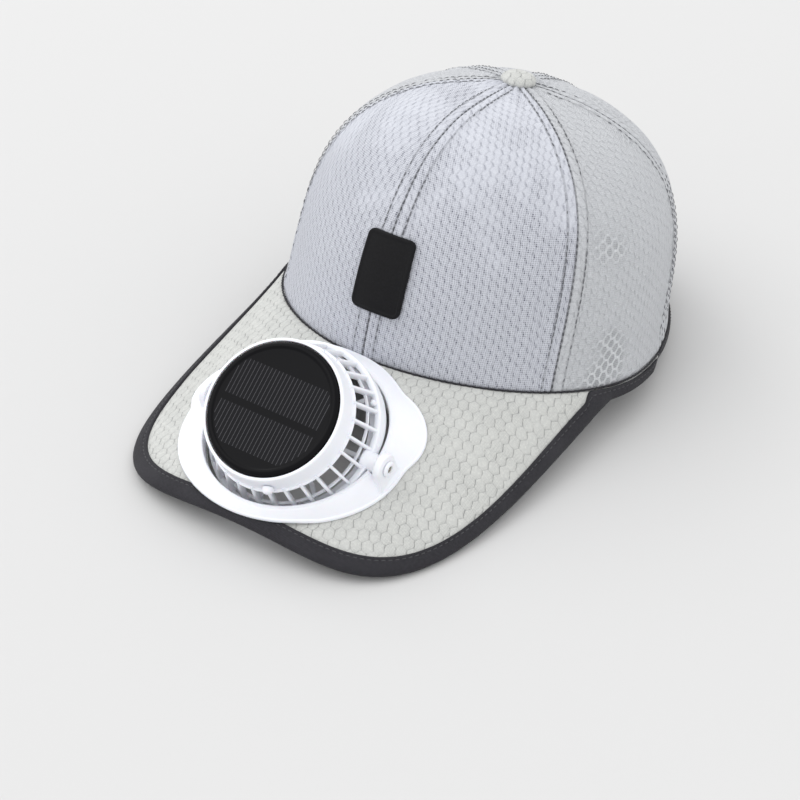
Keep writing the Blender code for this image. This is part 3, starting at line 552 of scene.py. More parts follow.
def colour_setting(name, description, default):
    return bpy.props.FloatVectorProperty(
        name=name, description=description, default=default, subtype="COLOR", size=3, min=0.0, max=1.0
    )


def number_setting(name, description, default, **extra):
    extra.setdefault("min", 0.0)
    return bpy.props.FloatProperty(name=name, description=description, default=default, **extra)


def length_setting(name, description, default):
    return number_setting(name, description, default, precision=5, subtype="DISTANCE", unit="LENGTH")


def count_setting(name, description, default, least):
    return bpy.props.IntProperty(name=name, description=description, default=default, min=least)


class CapCloth(bpy.types.PropertyGroup):
    front_colour: colour_setting("Front", "Lined mesh of the two front panels", (0.555, 0.572, 0.630))
    side_colour: colour_setting("Sides", "Open mesh of the side and back panels", (0.530, 0.543, 0.570))
    brim_colour: colour_setting("Brim", "Mesh over the stiff brim", (0.542, 0.549, 0.533))
    binding_colour: colour_setting("Binding", "Tape folded round the edges", (0.022, 0.0215, 0.025))
    thread_colour: colour_setting("Thread", "Thread of the crown's seams", (0.12, 0.125, 0.14))
    rubber_colour: colour_setting("Patch", "Moulded rubber patch", (0.008, 0.008, 0.009))
    crown_cell: length_setting("Crown Cell", "Width of a knitted cell on the crown", 3.1 * MM)
    brim_cell: length_setting("Brim Cell", "Width of a knitted cell on the brim", 3.7 * MM)
    hole_pitch: length_setting("Net Pitch", "Spacing of the fine holes of the front net", 0.95 * MM)
    openness: number_setting(
        "Openness", "How open the holes of the side mesh are", 0.45, max=1.0, subtype="FACTOR"
    )
    softness: length_setting("Softness", "How far the crown's cloth swells and sinks", 0.9 * MM)
    stitch_pitch: length_setting("Stitch Pitch", "Distance from one stitch to the next", 2.9 * MM)


class CapFan(bpy.types.PropertyGroup):
    plastic_colour: colour_setting("Plastic", "White mouldings of the fan", (0.885, 0.90, 0.955))
    blade_colour: colour_setting("Blades", "Smoke-tinted impeller", (0.88, 0.85, 0.79))
    solar_colour: colour_setting("Solar Cells", "Cells under the clear resin", (0.005, 0.005, 0.006))
    ribs: count_setting("Ribs", "Ribs round the fan's cage", 28, 3)
    blades: count_setting("Blades", "Blades of the impeller", 7, 2)
    grid_lines: count_setting("Grid Lines", "Fine lines in each row of cells", 26, 2)


class CapStage(bpy.types.PropertyGroup):
    floor_colour: colour_setting("Floor", "Plain pale floor", (0.64, 0.64, 0.64))
    room_light: number_setting("Room", "Even light from all round", 1.13)
    key_light: number_setting("Key", "Soft light from the left", 0.62)
    box_power: number_setting("Softbox", "Small light for highlights", 1.2, unit="POWER")
    lens: number_setting("Lens", "Focal length in millimetres", 134.79, min=10.0)


# Finishes

Knit = namedtuple("Knit", "across along long_edge short_edge lean yarn fuzz")


def knitted(paint, width, stretch, drift, waver, yarn, fuzz):
    """A honeycomb knit and its yarn. The cells drift and waver, each by a noise scale and a reach."""
    across, along = paint.cloth()
    shake = paint.noise(waver[0], 1.0) - 0.5
    across = across + (paint.noise(drift[0]) - 0.5) * drift[1] + shake * waver[1]
    cell = honeycomb(across, along + shake * 1.2, width, width * stretch)
    return Knit(across, along, *cell, paint.noise(yarn[0], 3.0, yarn[1]), paint.noise(fuzz, 3.0, 0.6))


def dots(across, along, pitch, low, high, stretch=1.0):
    """Dots in rows and columns, 1 inside."""
    x = (across / pitch).fract() - 0.5
    y = (along / (pitch * stretch)).fract() - 0.5
    return 1.0 - (x * x + y * y).step(low, high)


def sewn(paint):
    """The outer stitch rows, the centre row, and the distance from the seam in units of their spacing."""
    seam = paint.field("seam")
    return 1.0 - abs(seam - 1.0).step(0.03, 0.16), 1.0 - seam.step(0.02, 0.13), seam


def front_cloth():
    """Honeycomb knit over a fine white net, with small dark holes that come and go."""
    cap = bpy.context.scene.cap_cloth
    paint = Paint(
        "cap_front_cloth", roughness=0.9, sheen_weight=0.12, sheen_roughness=0.5, specular_ior_level=0.25
    )
    knit = knitted(paint, cap.crown_cell / MM, 1.45, (26.0, 4.0), (260.0, 0.9), (1500.0, 0.7), 420.0)
    row, middle, _ = sewn(paint)
    wale = (1.0 - knit.long_edge.step(0.0, 0.16)) * (0.12 + knit.lean * 0.88)
    link = 1.0 - knit.short_edge.step(0.0, 0.12)
    holes = dots(knit.across, knit.along, cap.hole_pitch / MM, 0.05, 0.17, 0.92)
    low_down = 1.0 - knit.along.step(20.0, 125.0)
    show = paint.noise(30.0) + low_down * 0.30 + (paint.noise(150.0) - 0.5) * 0.30
    show = show.step(0.46, 0.74) * (0.45 + wale * 0.55)
    streak = wale * (0.45 + (1.0 - show) * 0.55) * knit.fuzz.step(0.30, 0.60)
    colour = paint.mix(tuple(cap.front_colour), (0.25, 0.26, 0.31), streak * 0.68 + link * 0.05)
    colour = paint.mix(colour, (0.05, 0.05, 0.09), holes * show * 0.92)
    # Painted highlight on the raised yarn away from the wales, spread by fine noise that also gives the
    # yarn's own tone
    colour = paint.mix(colour, (0.74, 0.76, 0.81), (knit.yarn - 0.44) * 2.0 * (1.0 - wale))
    # Darker along the seam: partly needle holes and thread, partly painted shade in the sewn groove
    colour = paint.mix(colour, (0.09, 0.095, 0.11), row * 0.30 + middle * 0.55)
    height = knit.long_edge.step(0.0, 0.24) * 0.9 + knit.yarn * 0.5 - holes * show * 0.7
    height = height - row * 1.1 - middle * 1.8
    return paint.set(base_color=colour, normal=paint.bump(height, 0.00034, 0.9))


def side_cloth():
    """Open honeycomb mesh, which shows the inside of the cap through its holes."""
    cap = bpy.context.scene.cap_cloth
    paint = Paint(
        "cap_side_cloth", roughness=0.88, sheen_weight=0.15, sheen_roughness=0.5, specular_ior_level=0.3
    )
    knit = knitted(paint, cap.crown_cell / MM * 1.1, 1.42, (22.0, 4.0), (240.0, 0.8), (1200.0, 0.65), 420.0)
    row, middle, seam = sewn(paint)
    edge = knit.long_edge.least(knit.short_edge)
    rib = 1.0 - edge.step(0.04, 0.20)
    pores = dots(knit.across, knit.along, 0.85, 0.03, 0.15)
    single = seam.step(1.15, 1.35)
    thin = (paint.noise(26.0) + (knit.fuzz - 0.5) * 0.25).step(0.52, 0.73) * single
    wale = (1.0 - knit.long_edge.step(0.0, 0.15)) * (0.20 + knit.lean * 0.80) * knit.fuzz.step(0.30, 0.58)
    # Painted highlight on the ribs where the mesh is thin, plus fine yarn noise that is partly painted
    # highlight and partly the yarn's own tone
    pale = rib * thin * 0.5 + (knit.yarn - 0.44) * 1.8
    colour = paint.mix(tuple(cap.side_colour), (0.72, 0.74, 0.76), pale)
    colour = paint.mix(colour, (0.26, 0.27, 0.29), wale * (1.0 - thin) * 0.60)
    colour = paint.mix(colour, (0.30, 0.31, 0.33), thin * edge.step(0.08, 0.20) * 0.62 + pores * 0.08)
    # Darker along the seam: partly needle holes and thread, partly painted shade in the sewn groove
    colour = paint.mix(colour, (0.12, 0.125, 0.14), row * 0.30 + middle * 0.5)
    opening = pores * edge.step(0.06, 0.20) * single * cap.openness * (0.25 + thin * 0.55)
    height = rib + knit.yarn * 0.5 - pores * 0.4 - wale * 0.5 - row - middle * 1.6
    return paint.set(base_color=colour, alpha=1.0 - opening, normal=paint.bump(height, 0.00036, 0.9))


def brim_cloth():
    """Raised knitted cells with thin broken grey lines between them, and small dark knots."""
    cap = bpy.context.scene.cap_cloth
    paint = Paint(
        "cap_brim_cloth", roughness=0.88, sheen_weight=0.1, sheen_roughness=0.5, specular_ior_level=0.3
    )
    knit = knitted(paint, cap.brim_cell / MM, 1.40, (14.0, 3.0), (300.0, 0.85), (1000.0, 0.65), 380.0)
    long_edge, short_edge = knit.long_edge, knit.short_edge
    patchy = paint.noise(120.0)
    zigzag = (1.0 - long_edge.step(0.0, 0.045 + patchy * 0.02)) * knit.fuzz.step(0.28, 0.52)
    link = (1.0 - short_edge.step(0.0, 0.05)) * knit.fuzz.step(0.35, 0.6)
    knot = (1.0 - long_edge.step(0.0, 0.13)) * (1.0 - short_edge.step(0.0, 0.13)) * knit.fuzz.step(0.40, 0.62)
    line = (zigzag * (0.45 + knit.lean * 0.45)).most(link * 0.35).most(knot * 0.95)
    pores = dots(knit.across, knit.along, 0.9, 0.02, 0.16) * patchy.step(0.35, 0.6)
    # Lighter yarn: partly painted highlight, partly the yarn's own tone, spread by fine noise
    colour = paint.mix(tuple(cap.brim_colour), (0.76, 0.77, 0.73), (knit.yarn - 0.45) * 1.6)
    colour = paint.mix(colour, (0.36, 0.37, 0.36), pores * 0.26 + patchy.step(0.5, 0.8) * 0.08)
    colour = paint.mix(colour, (0.12, 0.125, 0.13), line * (0.45 + patchy * 0.5))
    puffed = long_edge.least(short_edge).step(0.0, 0.22)
    height = puffed * 0.75 + knit.yarn * 0.5 - line * 0.5 - pores * 0.25
    return paint.set(base_color=colour, normal=paint.bump(height, 0.00030, 0.9))


def tape_cloth():
    """Dark twill tape with a faint nap."""
    cap = bpy.context.scene.cap_cloth
    paint = Paint(
        "cap_binding_tape", roughness=0.86, sheen_weight=0.06, sheen_roughness=0.45, specular_ior_level=0.2
    )
    along, around = paint.cloth()
    twill = ((along + around * 0.9) / 0.85 * math.tau).sine() * 0.5 + 0.5
    warp = ((along - around * 0.4) / 0.42 * math.tau).sine() * 0.5 + 0.5
    nap = paint.noise(900.0, 3.0, 0.6)
    worn = paint.noise(60.0, 3.0)
    colour = paint.mix(tuple(cap.binding_colour), (0.060, 0.058, 0.068), twill * 0.28 + (nap - 0.4) * 0.7)
    colour = paint.mix(colour, (0.052, 0.051, 0.058), worn.step(0.45, 0.8) * 0.35)
    height = twill * 0.6 + warp * 0.25 + nap * 0.5
    return paint.set(base_color=colour, normal=paint.bump(height, 0.00016, 0.8))


def darker(colour, share):
    return tuple(part * share for part in colour)


def thread(name, colour):
    paint = Paint(name, roughness=0.65, sheen_weight=0.1)
    ply = paint.noise(1800.0, 1.0) - 0.5
    shade = paint.mix(tuple(colour), darker(colour, 0.55), ply + 0.4)
    return paint.set(base_color=shade, normal=paint.bump(ply, 0.00008, 0.7))


def plain_cloth(name, colour):
    """Close-woven cotton for what is sewn inside the cap."""
    paint = Paint(name, roughness=0.9, sheen_weight=0.1)
    across, along = paint.cloth()
    weave = ((across / 0.5 * math.tau).sine() * (along / 0.5 * math.tau).sine()) * 0.5 + 0.5
    worn = paint.noise(50.0, 3.0)
    shade = paint.mix(tuple(colour), darker(colour, 0.78), weave * 0.5 + worn.step(0.45, 0.8) * 0.3)
    return paint.set(base_color=shade, normal=paint.bump(weave, 0.00012, 0.6))


def patch_rubber():
    cap = bpy.context.scene.cap_cloth
    paint = Paint("cap_patch_rubber", roughness=0.5, specular_ior_level=0.12)
    grain = paint.noise(1100.0, 3.0, 0.6)
    smear = paint.noise(90.0, 3.0)
    colour = paint.mix(tuple(cap.rubber_colour), (0.018, 0.018, 0.020), (grain - 0.4) * 0.8)
    return paint.set(
        base_color=colour, roughness=smear * 0.18 + 0.44, normal=paint.bump(grain, 0.00006, 0.6)
    )


def white_plastic():
    """Moulded plastic with a soft gloss and faint flow marks."""
    fan = bpy.context.scene.cap_fan
    paint = Paint("fan_white_plastic", subsurface_weight=0.06, subsurface_scale=0.002, ior=1.46)
    flow = paint.noise(70.0, 3.0, 0.55)
    grain = paint.noise(2200.0, 2.0)
    colour = paint.mix(tuple(fan.plastic_colour), (0.80, 0.81, 0.87), flow.step(0.45, 0.8) * 0.35)
    return paint.set(
        base_color=colour, roughness=flow * 0.14 + 0.27, normal=paint.bump(grain, 0.000012, 0.5)
    )


def blade_plastic():
    fan = bpy.context.scene.cap_fan
    paint = Paint("fan_blade_plastic", ior=1.46, coat_weight=0.2)
    flow = paint.noise(120.0, 3.0)
    colour = paint.mix(tuple(fan.blade_colour), darker(fan.blade_colour, 0.84), flow.step(0.35, 0.75))
    return paint.set(base_color=colour, roughness=flow * 0.12 + 0.26, normal=paint.bump(flow, 0.00005, 0.4))


def solar_glass():
    """Black cells under clear resin: two rows of fine contact lines with a bus gap between them."""
    fan = bpy.context.scene.cap_fan
    paint = Paint("fan_solar_cells", specular_ior_level=0.07)
    x, y = paint.cloth()
    half = 22.5
    pitch = 2.0 * half / (fan.grid_lines - 1)
    line = 1.0 - abs(((x + half) / pitch + 0.5).fract() - 0.5).step(0.03, 0.09)
    width = 1.0 - abs(x).step(half + 0.3, half + 0.5)
    upper = 1.0 - abs(y - 7.0).step(8.0, 8.2)
    lower = 1.0 - abs(y + 12.4).step(8.0, 8.2)
    flat = 1.0 - (x * x + y * y).step(25.0 ** 2 - 8.0, 25.0 ** 2)
    cells = (upper + lower) * width * flat
    broken = (y / 0.62 * math.tau).sine().step(-0.6, 0.5)
    colour = paint.mix(tuple(fan.solar_colour), (0.009, 0.009, 0.011), cells * 0.8)
    colour = paint.mix(colour, (0.13, 0.13, 0.14), line * cells * (0.25 + broken * 0.6))
    return paint.set(base_color=colour, roughness=paint.noise(60.0) * 0.10 + 0.13)


def steel():
    paint = Paint("fan_screw_steel", metallic=1.0)
    scratch = paint.noise(1.0, 2.0, vector=paint.place((400.0, 4000.0, 4000.0)))
    colour = paint.mix((0.26, 0.23, 0.18), (0.44, 0.40, 0.33), scratch)
    return paint.set(base_color=colour, roughness=scratch * 0.2 + 0.25)


def floor_paint():
    colour = bpy.context.scene.cap_stage.floor_colour
    paint = Paint("floor_paint", roughness=0.9, specular_ior_level=0.1)
    return paint.set(base_color=paint.mix(tuple(colour), darker(colour, 0.99), paint.noise(3.0)))


def paint_for(maker, *values):
    """The material of a maker, made once."""
    key = "-".join((maker.__name__, *[str(value) for value in values if isinstance(value, str)]))
    if key not in MADE:
        MADE[key] = maker(*values)
    return MADE[key]


MADE = {}


def seam_thread():
    return paint_for(thread, "cap_seam_thread", tuple(bpy.context.scene.cap_cloth.thread_colour))


def dark_thread():
    return paint_for(thread, "cap_binding_thread", (0.055, 0.055, 0.062))


# Pieces of the crown

class CAP_OT_crown(bpy.types.Operator):
    """Make the crown's six panels of mesh, drawn in at their seams, and the lining of the front two"""
    bl_idname = "cap.crown"
    bl_label = "Crown Panels"

    rows = 120
    columns = 64

    def execute(self, context):
        panels = (
            ("front_panel", CENTRE_FRONT, FRONT_SEAM, front_cloth, "lined_mesh"),
            ("side_panel", FRONT_SEAM, BACK_SEAM, side_cloth, "open_mesh"),
            ("back_panel", BACK_SEAM, CENTRE_BACK, side_cloth, "open_mesh"),
        )
        for name, near, far, maker, slot in panels:
            for side, hand in ((1, "left"), (-1, "right")):
                shape = Shape()
                self.panel(shape, near, far, side)
                node = f"{name}_{hand}"
                shape.build(f"{node}_mesh", "cap", slot, [paint_for(maker)], (node,), outward=False)
        lining = Shape()
        share = np.linspace(0.0, 1.0, 61)[:, None]
        theta = np.linspace(-1.0, 1.0, 61)[None] * seam_angle(FRONT_SEAM, share)
        length = share * crown_length(theta)
        points = crown_up(theta, length)
        inside = points - grid_normals(points) * 1.3 * MM
        lining.grid(inside + SHIFT, cloth=stacked(theta * 0.08, length))
        paint = paint_for(plain_cloth, "cap_lining", (0.62, 0.63, 0.68))
        lining.build("front_lining", "cap", "lined_mesh", [paint], outward=False)
        return {"FINISHED"}

    def panel(self, shape, near, far, side):
        share = np.linspace(0.0, 1.0, self.rows + 1)[:, None]
        even = np.linspace(0.0, 1.0, self.columns + 1)[None]
        place = 0.45 * even + 0.55 * (0.5 - 0.5 * np.cos(math.pi * even))
        start, end = seam_angle(near, share, side), seam_angle(far, share, side)
        theta = start + (end - start) * place
        total = crown_length(theta)
        length = share * total
        points = crown_up(theta, length)
        normals = grid_normals(points)
        arc = arc_length(points)
        nearest = np.minimum(arc, arc[:, -1:] - arc)
        row = nearest / seam_row_offset(points)
        soft = ripple(points, 1.0 / 0.042, 3.0) + 0.45 * ripple(points, 1.0 / 0.018, 9.0)
        calm = smooth(length, 5 * MM, 28 * MM) * smooth(total - length, 3 * MM, 22 * MM)
        wave = np.sin(length / (5.6 * MM) * math.tau + 5.0 * ripple(points, 90.0, 5.0))
        lift = 0.35 * MM * (1.0 - smooth(row, 1.05, 1.4)) - 0.55 * MM * bell(nearest, 0.0, 0.9 * MM)
        lift += bpy.context.scene.cap_cloth.softness * soft * calm
        lift += 0.16 * MM * wave * bell(row, 1.0, 0.6) * smooth(length, 0.0, 8 * MM)
        lift -= 0.5 * MM * bell(row, 1.9, 0.9) * calm
        lift += 0.45 * MM * np.sin(theta * 17.0) * bell(total - length, 5 * MM, 9 * MM)
        lift -= 0.5 * MM * bell(length, 0.0, 1.6 * MM)
        cloth = stacked((arc - arc[:, -1:] / 2) * side, length)
        shape.grid(points + normals * lift[..., None] + SHIFT, cloth=cloth, seam=row)


def grid_normals(points):
    """Outward normals of a skin of the crown, shaped (rows, columns, 3)."""
    normals = unit(np.cross(np.gradient(points, axis=1), np.gradient(points, axis=0)))
    outward = points - np.array((0.0, 10 * MM, 20 * MM))
    facing = np.sign((normals * outward).sum(-1).sum())
    return normals * facing


def seam_path(seam, side, offset, samples=130):
    """A path that keeps a share of the stitch rows' offset from a seam, with its normals."""
    share = np.linspace(0.012, 0.985, samples)
    theta = seam_angle(seam, share, side)
    turn = np.linspace(-0.62, 0.62, 51)
    spread = theta[:, None] + turn[None]
    lengths = share[:, None] * crown_length(spread)
    points = crown_up(spread, lengths)
    arc = arc_length(points)
    middle = len(turn) // 2
    arc -= arc[:, middle:middle + 1]
    wanted = offset * seam_row_offset(points[:, middle])
    angle = np.array([np.interp(wanted[i], arc[i], spread[i]) for i in range(samples)])
    length = share * crown_length(angle)
    return crown_up(angle, length), crown_normal(angle, length), share


class CAP_OT_seams(bpy.types.Operator):
    """Sew three rows of stitches along each seam of the crown, over a tape inside"""
    bl_idname = "cap.seams"
    bl_label = "Crown Seams"

    def execute(self, context):
        pitch = context.scene.cap_cloth.stitch_pitch
        rows, tapes = Shape(), Shape()
        for seam, side in SEAMS:
            for offset in (-1.0, 0.0, 1.0):
                path, normals, share = seam_path(seam, side, offset)
                wave = 0.16 * MM * np.sin(share * 190.0 + offset)
                rise = 0.16 * MM + wave if offset else np.full(len(share), 0.02 * MM)
                path = path + normals * rise[:, None]
                size = 0.20 * MM if offset else 0.24 * MM
                stitches(rows, path + SHIFT, normals, pitch, pitch * (0.86 if offset else 0.62), size)
            edges = []
            for offset in (-1.25, -0.6, 0.0, 0.6, 1.25):
                path, normals, share = seam_path(seam, side, offset, 60)
                inside = 1.0 * MM + 0.5 * MM * (1.0 - abs(offset) / 1.25)
                edges.append(path - normals * inside)
            grid = np.stack(edges, 1)
            across, along = np.linspace(-6, 6, 5), np.linspace(0, 165, 60)
            tapes.grid(grid + SHIFT, cloth=stacked(across[None], along[:, None]) * MM)
        rows.build("crown_stitches", "cap", "lined_mesh", [seam_thread()])
        paint = paint_for(plain_cloth, "cap_seam_tape", (0.40, 0.41, 0.43))
        tapes.build("seam_tapes", "cap", "open_mesh", [paint], outward=False)
        return {"FINISHED"}


class CAP_OT_button(bpy.types.Operator):
    """Cover the top button with mesh, gathered under its edge"""
    bl_idname = "cap.button"
    bl_label = "Top Button"

    def execute(self, context):
        profile = np.array((
            (0.02, 3.75), (1.4, 3.72), (2.8, 3.62), (4.2, 3.42), (5.4, 3.08), (6.4, 2.58), (7.1, 1.95),
            (7.5, 1.25), (7.62, 0.55), (7.45, -0.15), (7.0, -0.7), (6.2, -1.0),
        )) * MM
        turn = np.linspace(0.0, math.tau, 145)
        rim = smooth(profile[:, :1], 3.6 * MM, 7.4 * MM)
        pleat = np.sin(turn * 12.0)[None] * 0.16 * MM + np.sin(turn * 5.0 + 1.0)[None] * 0.12 * MM
        radius = profile[:, :1] + pleat * rim
        height = profile[:, 1:] + 0.18 * MM * np.sin(turn * 3.0 + 0.6)[None] * (1.0 - rim)
        points = stacked(radius * np.cos(turn), radius * np.sin(turn), height)
        points[:, -1] = points[:, 0]
        top = crown_at(np.zeros(1), 0.0, 1.0)[0]
        spot = Vector(top) + Vector((0.0, FRAME_SHIFT, 0.6 * MM))
        place = Matrix.Translation(spot) @ Matrix.Rotation(-REST_TILT, 4, "X")
        shape = Shape()
        shape.grid(moved(points, place), cloth=points[..., :2] + 0.2, seam=np.full(points.shape[:2], 3.0))
        paint = [paint_for(brim_cloth)]
        shape.build("top_button_cover", "cap", "lined_mesh", paint, ("top_button",), outward=False)
        return {"FINISHED"}


class CAP_OT_patch(bpy.types.Operator):
    """Mould the plain rubber patch over the centre seam, with rounded corners and a low raised rim"""
    bl_idname = "cap.patch"
    bl_label = "Front Patch"

    half_width = 11.3 * MM
    half_height = 17.0 * MM
    corner = 3.2 * MM
    low_edge = 22.2 * MM
    side_shift = 2.2 * MM

    def execute(self, context):
        profile = (
            (0.0, 0.0), (0.0, 0.9), (0.10, 1.35), (0.35, 1.62), (0.75, 1.72), (1.25, 1.70), (1.5, 1.60),
            (1.7, 1.50), (2.4, 1.50), (3.6, 1.51), (5.2, 1.52), (7.0, 1.54), (8.8, 1.55), (10.3, 1.56),
        )
        rings = [self.on_crown(*self.outline(inset * MM), rise * MM) for inset, rise in profile]
        shape = Shape()
        shape.grid(np.stack(rings) + SHIFT, closed=True, capped=True)
        paint = [paint_for(patch_rubber)]
        shape.build("front_patch_rubber", "cap", "patch_rubber", paint, ("front_patch",))
        return {"FINISHED"}

    def outline(self, inset):
        half_x, half_y = self.half_width - inset, self.half_height - inset
        corner = max(self.corner - inset, min(0.25 * MM, half_x * 0.9))
        arc = np.linspace(0.0, math.pi / 2, 13)
        parts = []
        for quarter, (sx, sy) in enumerate(((1, 1), (-1, 1), (-1, -1), (1, -1))):
            turn = arc + math.pi / 2 * quarter
            middle = np.array((sx * (half_x - corner), sy * (half_y - corner)))
            parts.append(middle + corner * np.stack((np.cos(turn), np.sin(turn)), -1))
        points = []
        for quarter, part in enumerate(parts):
            after = parts[(quarter + 1) % 4][0]
            share = np.linspace(0.0, 1.0, 26 if quarter % 2 else 14, endpoint=False)[1:, None]
            points += [part, part[-1] + (after - part[-1]) * share]
        return np.concatenate(points).T

    def on_crown(self, x, y, rise):
        length = self.low_edge + self.half_height + y
        theta = signed_power((x + self.side_shift) / CROWN_HALF_WIDTH, 1.0 / PLAN_POWER)
        return crown_up(theta, length) + crown_normal(theta, length) * (rise + 0.35 * MM)


# Pieces of the brim and the lower edge

def tapered_span(alpha):
    """The brim's inner and outer edges, drawn together where the tails end."""
    inner, outer = brim_span(alpha)
    return inner, inner + (outer - inner) * (0.08 + 0.92 * tail(alpha))[:, None]


def tail(alpha):
    """Falls from 1 to 0 towards the end of each tail."""
    return smooth(BRIM_TAIL_END - np.abs(alpha), 0.0, math.radians(11.0))


class CAP_OT_brim(bpy.types.Operator):
    """Make the curved brim of mesh over a stiff sheet, with the fan's hole cut through"""
    bl_idname = "cap.brim"
    bl_label = "Brim"

    def execute(self, context):
        alpha = np.linspace(-BRIM_TAIL_END, BRIM_TAIL_END, 261)
        inner, outer = tapered_span(alpha)
        span = np.linalg.norm(outer - inner, axis=1)
        share = np.linspace(0.0, 1.0, 53)
        low, high = 0.3 * MM / span, 1.0 - 1.2 * MM / span
        shares = low[:, None] + (high - low)[:, None] * share[None]
        middle = brim_point(alpha[:, None], shares, (inner[:, None], outer[:, None]))
        normals = unit(np.cross(np.gradient(middle, axis=1), np.gradient(middle, axis=0)))
        normals *= np.sign(normals[..., 2].sum())
        half = BRIM_THICKNESS / 2 + 0.10 * MM * ripple(middle, 60.0, 2.0)
        half = half - 0.35 * MM * bell(shares * span[:, None], 0.0, 1.5 * MM)
        top = middle + normals * half[..., None]
        bottom = middle - normals * (BRIM_THICKNESS / 2)
        shell = np.concatenate((top, bottom[:, ::-1]), 1)
        flat = np.concatenate((middle[..., :2], middle[:, ::-1, :2]), 1)
        shape = Shape()
        shape.grid(shell + SHIFT, closed=True, capped=True, cloth=flat)
        obj = shape.build("brim_mesh", "cap", "brim_cloth", [paint_for(brim_cloth)], ("brim",), angle=50.0)
        radius = CAGE_RADIUS / MM + 0.9
        cutter = Shape()
        outline = ((0.0, 30.0), (radius, 30.0), (radius, -40.0), (0.0, -40.0))
        cutter.turned(outline, 120, fan_frame(RING_PITCH))
        tool = cutter.build("brim_hole_tool", "cap", "brim_cloth", [])
        modifier = obj.modifiers.new("fan_hole", "BOOLEAN")
        modifier.operation = "DIFFERENCE"
        modifier.solver = "EXACT"
        modifier.object = tool
        obj.data = bpy.data.meshes.new_from_object(obj.evaluated_get(bpy.context.evaluated_depsgraph_get()))
        obj.modifiers.clear()
        bpy.data.objects.remove(tool)
        self.edge_line()
        return {"FINISHED"}

    def edge_line(self):
        """The dark line where the crown meets the brim: partly its sewn seam, partly painted shade in the
        crease.
        """
        alpha = np.linspace(-1.84, 1.84, 580)
        foot = crown_foot(alpha)
        outward = unit(foot * (1.0, 1.0, 0.0))
        scallop = np.abs(np.sin(arc_length(foot) / TAPE_STITCH * math.pi))
        path = foot + outward * (0.15 + 0.25 * scallop)[:, None] * MM
        path[:, 2] += 1.0 * MM
        shape = Shape()
        # A black cord that stands for the seam's stitching and for painted shade in the crease between crown
        # and brim
        tube(shape, path + SHIFT, 0.42 * MM)
        shape.build("brim_seam_and_crease_shade", "cap", "binding_cloth", [paint_for(tape_cloth)])


class CAP_OT_binding(bpy.types.Operator):
    """Fold dark tape round the brim's edge and sew it down, with a tail along each side"""
    bl_idname = "cap.binding"
    bl_label = "Brim Binding"

    def execute(self, context):
        alpha = np.linspace(-BRIM_TAIL_END, BRIM_TAIL_END, 521)
        inner, outer = tapered_span(alpha)
        span = np.linalg.norm(outer - inner, axis=1)
        full = span - 0.3 * MM
        width = full + (np.minimum(BINDING_WIDTH, full) - full) * smooth(span, 10.5 * MM, 14 * MM)
        arc = arc_length(outer)
        profile = (
            (1.0, 0.75), (1.0, 1.45), (0.97, 1.82), (0.90, 1.93), (0.83, 1.86), (0.785, 1.66), (0.74, 1.84),
            (0.66, 1.96), (0.45, 1.98), (0.25, 1.94), (0.13, 1.72), (0.055, 1.25), (0.012, 0.62),
        )
        pull = 0.07 * MM * np.sin(arc / context.scene.cap_cloth.stitch_pitch * math.tau)
        columns, around = [], []
        lower = [(share, -rise) for share, rise in profile[::-1]]
        for share, rise in (*profile, (0.0, 0.0), *lower):
            inset = width * share
            place = brim_point(alpha, 1.0 - inset / span, (inner, outer))
            inward = brim_point(alpha, 1.0 - (inset + 0.5 * MM) / span, (inner, outer)) - place
            normal = unit(np.cross(np.gradient(outer, axis=0), inward))
            face = math.copysign(1.0, rise)
            gather = pull * bell(share, 0.8, 0.25) * face
            height = (rise * MM + gather) * (0.3 + 0.7 * tail(alpha))
            columns.append(place + normal * height[:, None])
            around.append(face * (8.0 + 8.0 * (1.0 - share)) * MM)
        shape, row = Shape(), Shape()
        cloth = stacked(arc[:, None], np.array(around)[None])
        shape.grid(np.stack(columns, 1) + SHIFT, closed=True, capped=True, cloth=cloth)
        for index, back in ((5, 1), (len(columns) - 6, -1)):
            path = columns[index]
            normal = unit(columns[index - back] - columns[index + back])
            out = unit(np.cross(np.gradient(path, axis=0), normal))
            out *= np.sign(out[:, 2].mean() * back)
            stitches(row, path + SHIFT + out * 0.05 * MM, out, TAPE_STITCH, TAPE_STITCH_LENGTH, 0.25 * MM)
        paint = [paint_for(tape_cloth)]
        shape.build("brim_binding_tape", "cap", "binding_cloth", paint, ("brim_binding",), angle=60.0)
        row.build("binding_stitches", "cap", "binding_cloth", [dark_thread()])
        return {"FINISHED"}


